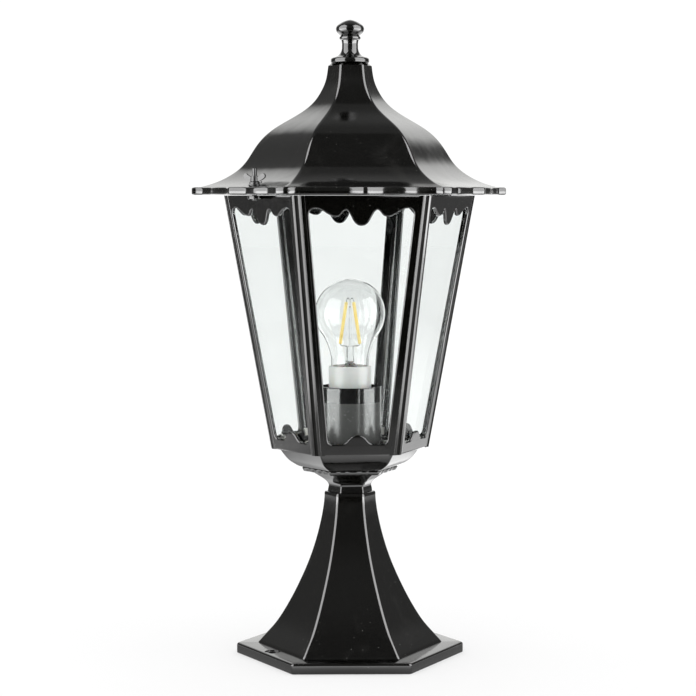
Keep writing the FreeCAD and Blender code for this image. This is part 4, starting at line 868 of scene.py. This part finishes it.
t.link(t.co.outputs["Object"], reach.inputs[0])
side = t.ramp(t.math("DIVIDE", t.math("ABSOLUTE", at.outputs["X"], 0.0), reach.outputs["Value"]), 0.46, 0.0, 0.58, 3.4)
fore = t.ramp(t.math("DIVIDE", at.outputs["Y"], reach.outputs["Value"]), 0.06, 1.0, 0.20, 0.0)
side = t.math("MULTIPLY", t.math("MULTIPLY", side, fore), t.ramp(reach.outputs["Value"], 0.50, 0.0, 0.64, 1.0))
deep = t.math("DIVIDE", at.outputs["Y"], reach.outputs["Value"])
rear = t.math("ADD", t.ramp(deep, 0.16, 0.0, 0.34, 0.18), t.ramp(deep, 0.74, 0.0, 0.92, 1.1))
rear = t.math("ADD", rear, t.math("MULTIPLY", t.ramp(deep, 0.24, 0.0, 0.62, 1.4), t.ramp(reach.outputs["Value"], 1.1, 1.0, 1.7, 0.0)))
rear = t.math("MULTIPLY", rear, t.ramp(reach.outputs["Value"], 0.45, 0.0, 0.7, 1.0))
spot = t.node("ShaderNodeVectorMath", operation="DISTANCE")
spot.inputs[1].default_value = (0.19, 0.31, 0.0)
t.link(t.co.outputs["Object"], spot.inputs[0])
near = t.math("ADD", near, t.ramp(spot.outputs["Value"], 0.05, 1.9, 0.15, 0.0))
t.link(t.math("ADD", t.math("ADD", near, side), rear), pool.inputs["Strength"])
path = t.node("ShaderNodeLightPath")
pick = t.node("ShaderNodeMixShader")
t.link(t.math("SUBTRACT", path.outputs["Is Glossy Ray"], path.outputs["Is Transmission Ray"]), pick.inputs[0])
t.link(both.outputs[0], pick.inputs[1])
t.link(pool.outputs[0], pick.inputs[2])
floor.data.materials.append(t.done(pick.outputs[0]))
t.mat.cycles.emission_sampling = "NONE"

# ---------------------------------------------------------------- studio: white behind, dark on the near side, a soft box at each side
w = bpy.data.worlds.new("studio")
SCENE.world = w
w.use_nodes = True
nt = w.node_tree
nt.nodes.clear()
out = nt.nodes.new("ShaderNodeOutputWorld")
tc = nt.nodes.new("ShaderNodeTexCoord")
sep = nt.nodes.new("ShaderNodeSeparateXYZ")
nt.links.new(tc.outputs["Generated"], sep.inputs[0])


def world_ramp(src, x0, y0, x1, y1):
    m = nt.nodes.new("ShaderNodeMapRange")
    m.interpolation_type = "SMOOTHSTEP"
    for i, v in zip(("From Min", "From Max", "To Min", "To Max"), (x0, x1, y0, y1)):
        m.inputs[i].default_value = v
    nt.links.new(src, m.inputs["Value"])
    return m.outputs["Result"]


flat = nt.nodes.new("ShaderNodeVectorMath")
flat.operation = "MULTIPLY"
flat.inputs[1].default_value = (1.0, 1.0, 0.0)
nt.links.new(tc.outputs["Generated"], flat.inputs[0])
unit = nt.nodes.new("ShaderNodeVectorMath")
unit.operation = "NORMALIZE"
nt.links.new(flat.outputs[0], unit.inputs[0])
turn = nt.nodes.new("ShaderNodeSeparateXYZ")
nt.links.new(unit.outputs[0], turn.inputs[0])


def world_math(op, a, b):
    m = nt.nodes.new("ShaderNodeMath")
    m.operation = op
    for i, v in enumerate((a, b)):
        if isinstance(v, (int, float)):
            m.inputs[i].default_value = v
        else:
            nt.links.new(v, m.inputs[i])
    return m.outputs[0]


back = world_ramp(turn.outputs["Y"], 0.80, 0.0, 0.90, 1.2)
low = world_ramp(sep.outputs["Z"], 0.50, 1.0, 0.66, 0.08)
top = world_math("SUBTRACT", world_ramp(sep.outputs["Z"], 0.26, 0.10, 0.50, 0.17), world_ramp(sep.outputs["Z"], 0.58, 0.0, 0.86, 0.06))
low = world_math("MULTIPLY", low, world_ramp(sep.outputs["Z"], 0.86, 1.0, 0.975, 0.0))
top = world_math("MULTIPLY", top, world_ramp(turn.outputs["Y"], -0.5, 0.55, 0.2, 1.25))
level = world_math("ADD", world_math("MULTIPLY", back, low), top)
room = nt.nodes.new("ShaderNodeBackground")
room.inputs["Color"].default_value = (1.0, 1.0, 0.985, 1.0)
nt.links.new(level, room.inputs["Strength"])
seen = nt.nodes.new("ShaderNodeBackground")
seen.inputs["Color"].default_value = (1.0, 1.0, 1.0, 1.0)
seen.inputs["Strength"].default_value = 1.05
path = nt.nodes.new("ShaderNodeLightPath")
both = nt.nodes.new("ShaderNodeMath")
both.operation = "MAXIMUM"
nt.links.new(path.outputs["Is Camera Ray"], both.inputs[0])
nt.links.new(path.outputs["Is Transmission Ray"], both.inputs[1])
dome = nt.nodes.new("ShaderNodeBackground")
dome.inputs["Color"].default_value = (1.0, 1.0, 1.0, 1.0)
dome.inputs["Strength"].default_value = 1.4
soft = nt.nodes.new("ShaderNodeMixShader")
nt.links.new(path.outputs["Is Diffuse Ray"], soft.inputs[0])
nt.links.new(room.outputs[0], soft.inputs[1])
nt.links.new(dome.outputs[0], soft.inputs[2])
mixs = nt.nodes.new("ShaderNodeMixShader")
nt.links.new(both.outputs[0], mixs.inputs[0])
nt.links.new(soft.outputs[0], mixs.inputs[1])
nt.links.new(seen.outputs[0], mixs.inputs[2])
nt.links.new(mixs.outputs[0], out.inputs["Surface"])


def soft_box(name, loc, target, sx, sy, radiance):
    la = bpy.data.lights.new(name, "AREA")
    la.shape, la.size, la.size_y = "RECTANGLE", sx, sy
    la.energy = radiance * math.pi * sx * sy
    o = bpy.data.objects.new(name, la)
    o.location = loc
    o.rotation_euler = (Vector(target) - Vector(loc)).to_track_quat("-Z", "Y").to_euler()
    o.visible_camera = False
    SCENE.collection.objects.link(o)
    return o


for name, x, power in (("soft_left", -1.25, 3.4), ("soft_right", 1.25, 3.6)):
    o = soft_box(name, (x, -0.90, 1.75), (0, -0.90, 1.75), 2.25, 3.5, power)
    o.visible_diffuse = o.visible_camera = False

# ---------------------------------------------------------------- camera
cam = bpy.data.cameras.new("camera")
cam.sensor_width, cam.lens = 36.0, 106.66
cam.shift_x = -2.0 / 696.0
cam.clip_end = 100.0
co = bpy.data.objects.new("camera", cam)
az = math.radians(0.85)
co.location = (-1.759 * math.sin(az), -1.759 * math.cos(az), 0.3911)
co.rotation_euler = (math.radians(90.0 - 4.15), 0.0, -az)
SCENE.collection.objects.link(co)
SCENE.camera = co
SCENE.view_settings.view_transform = "Standard"
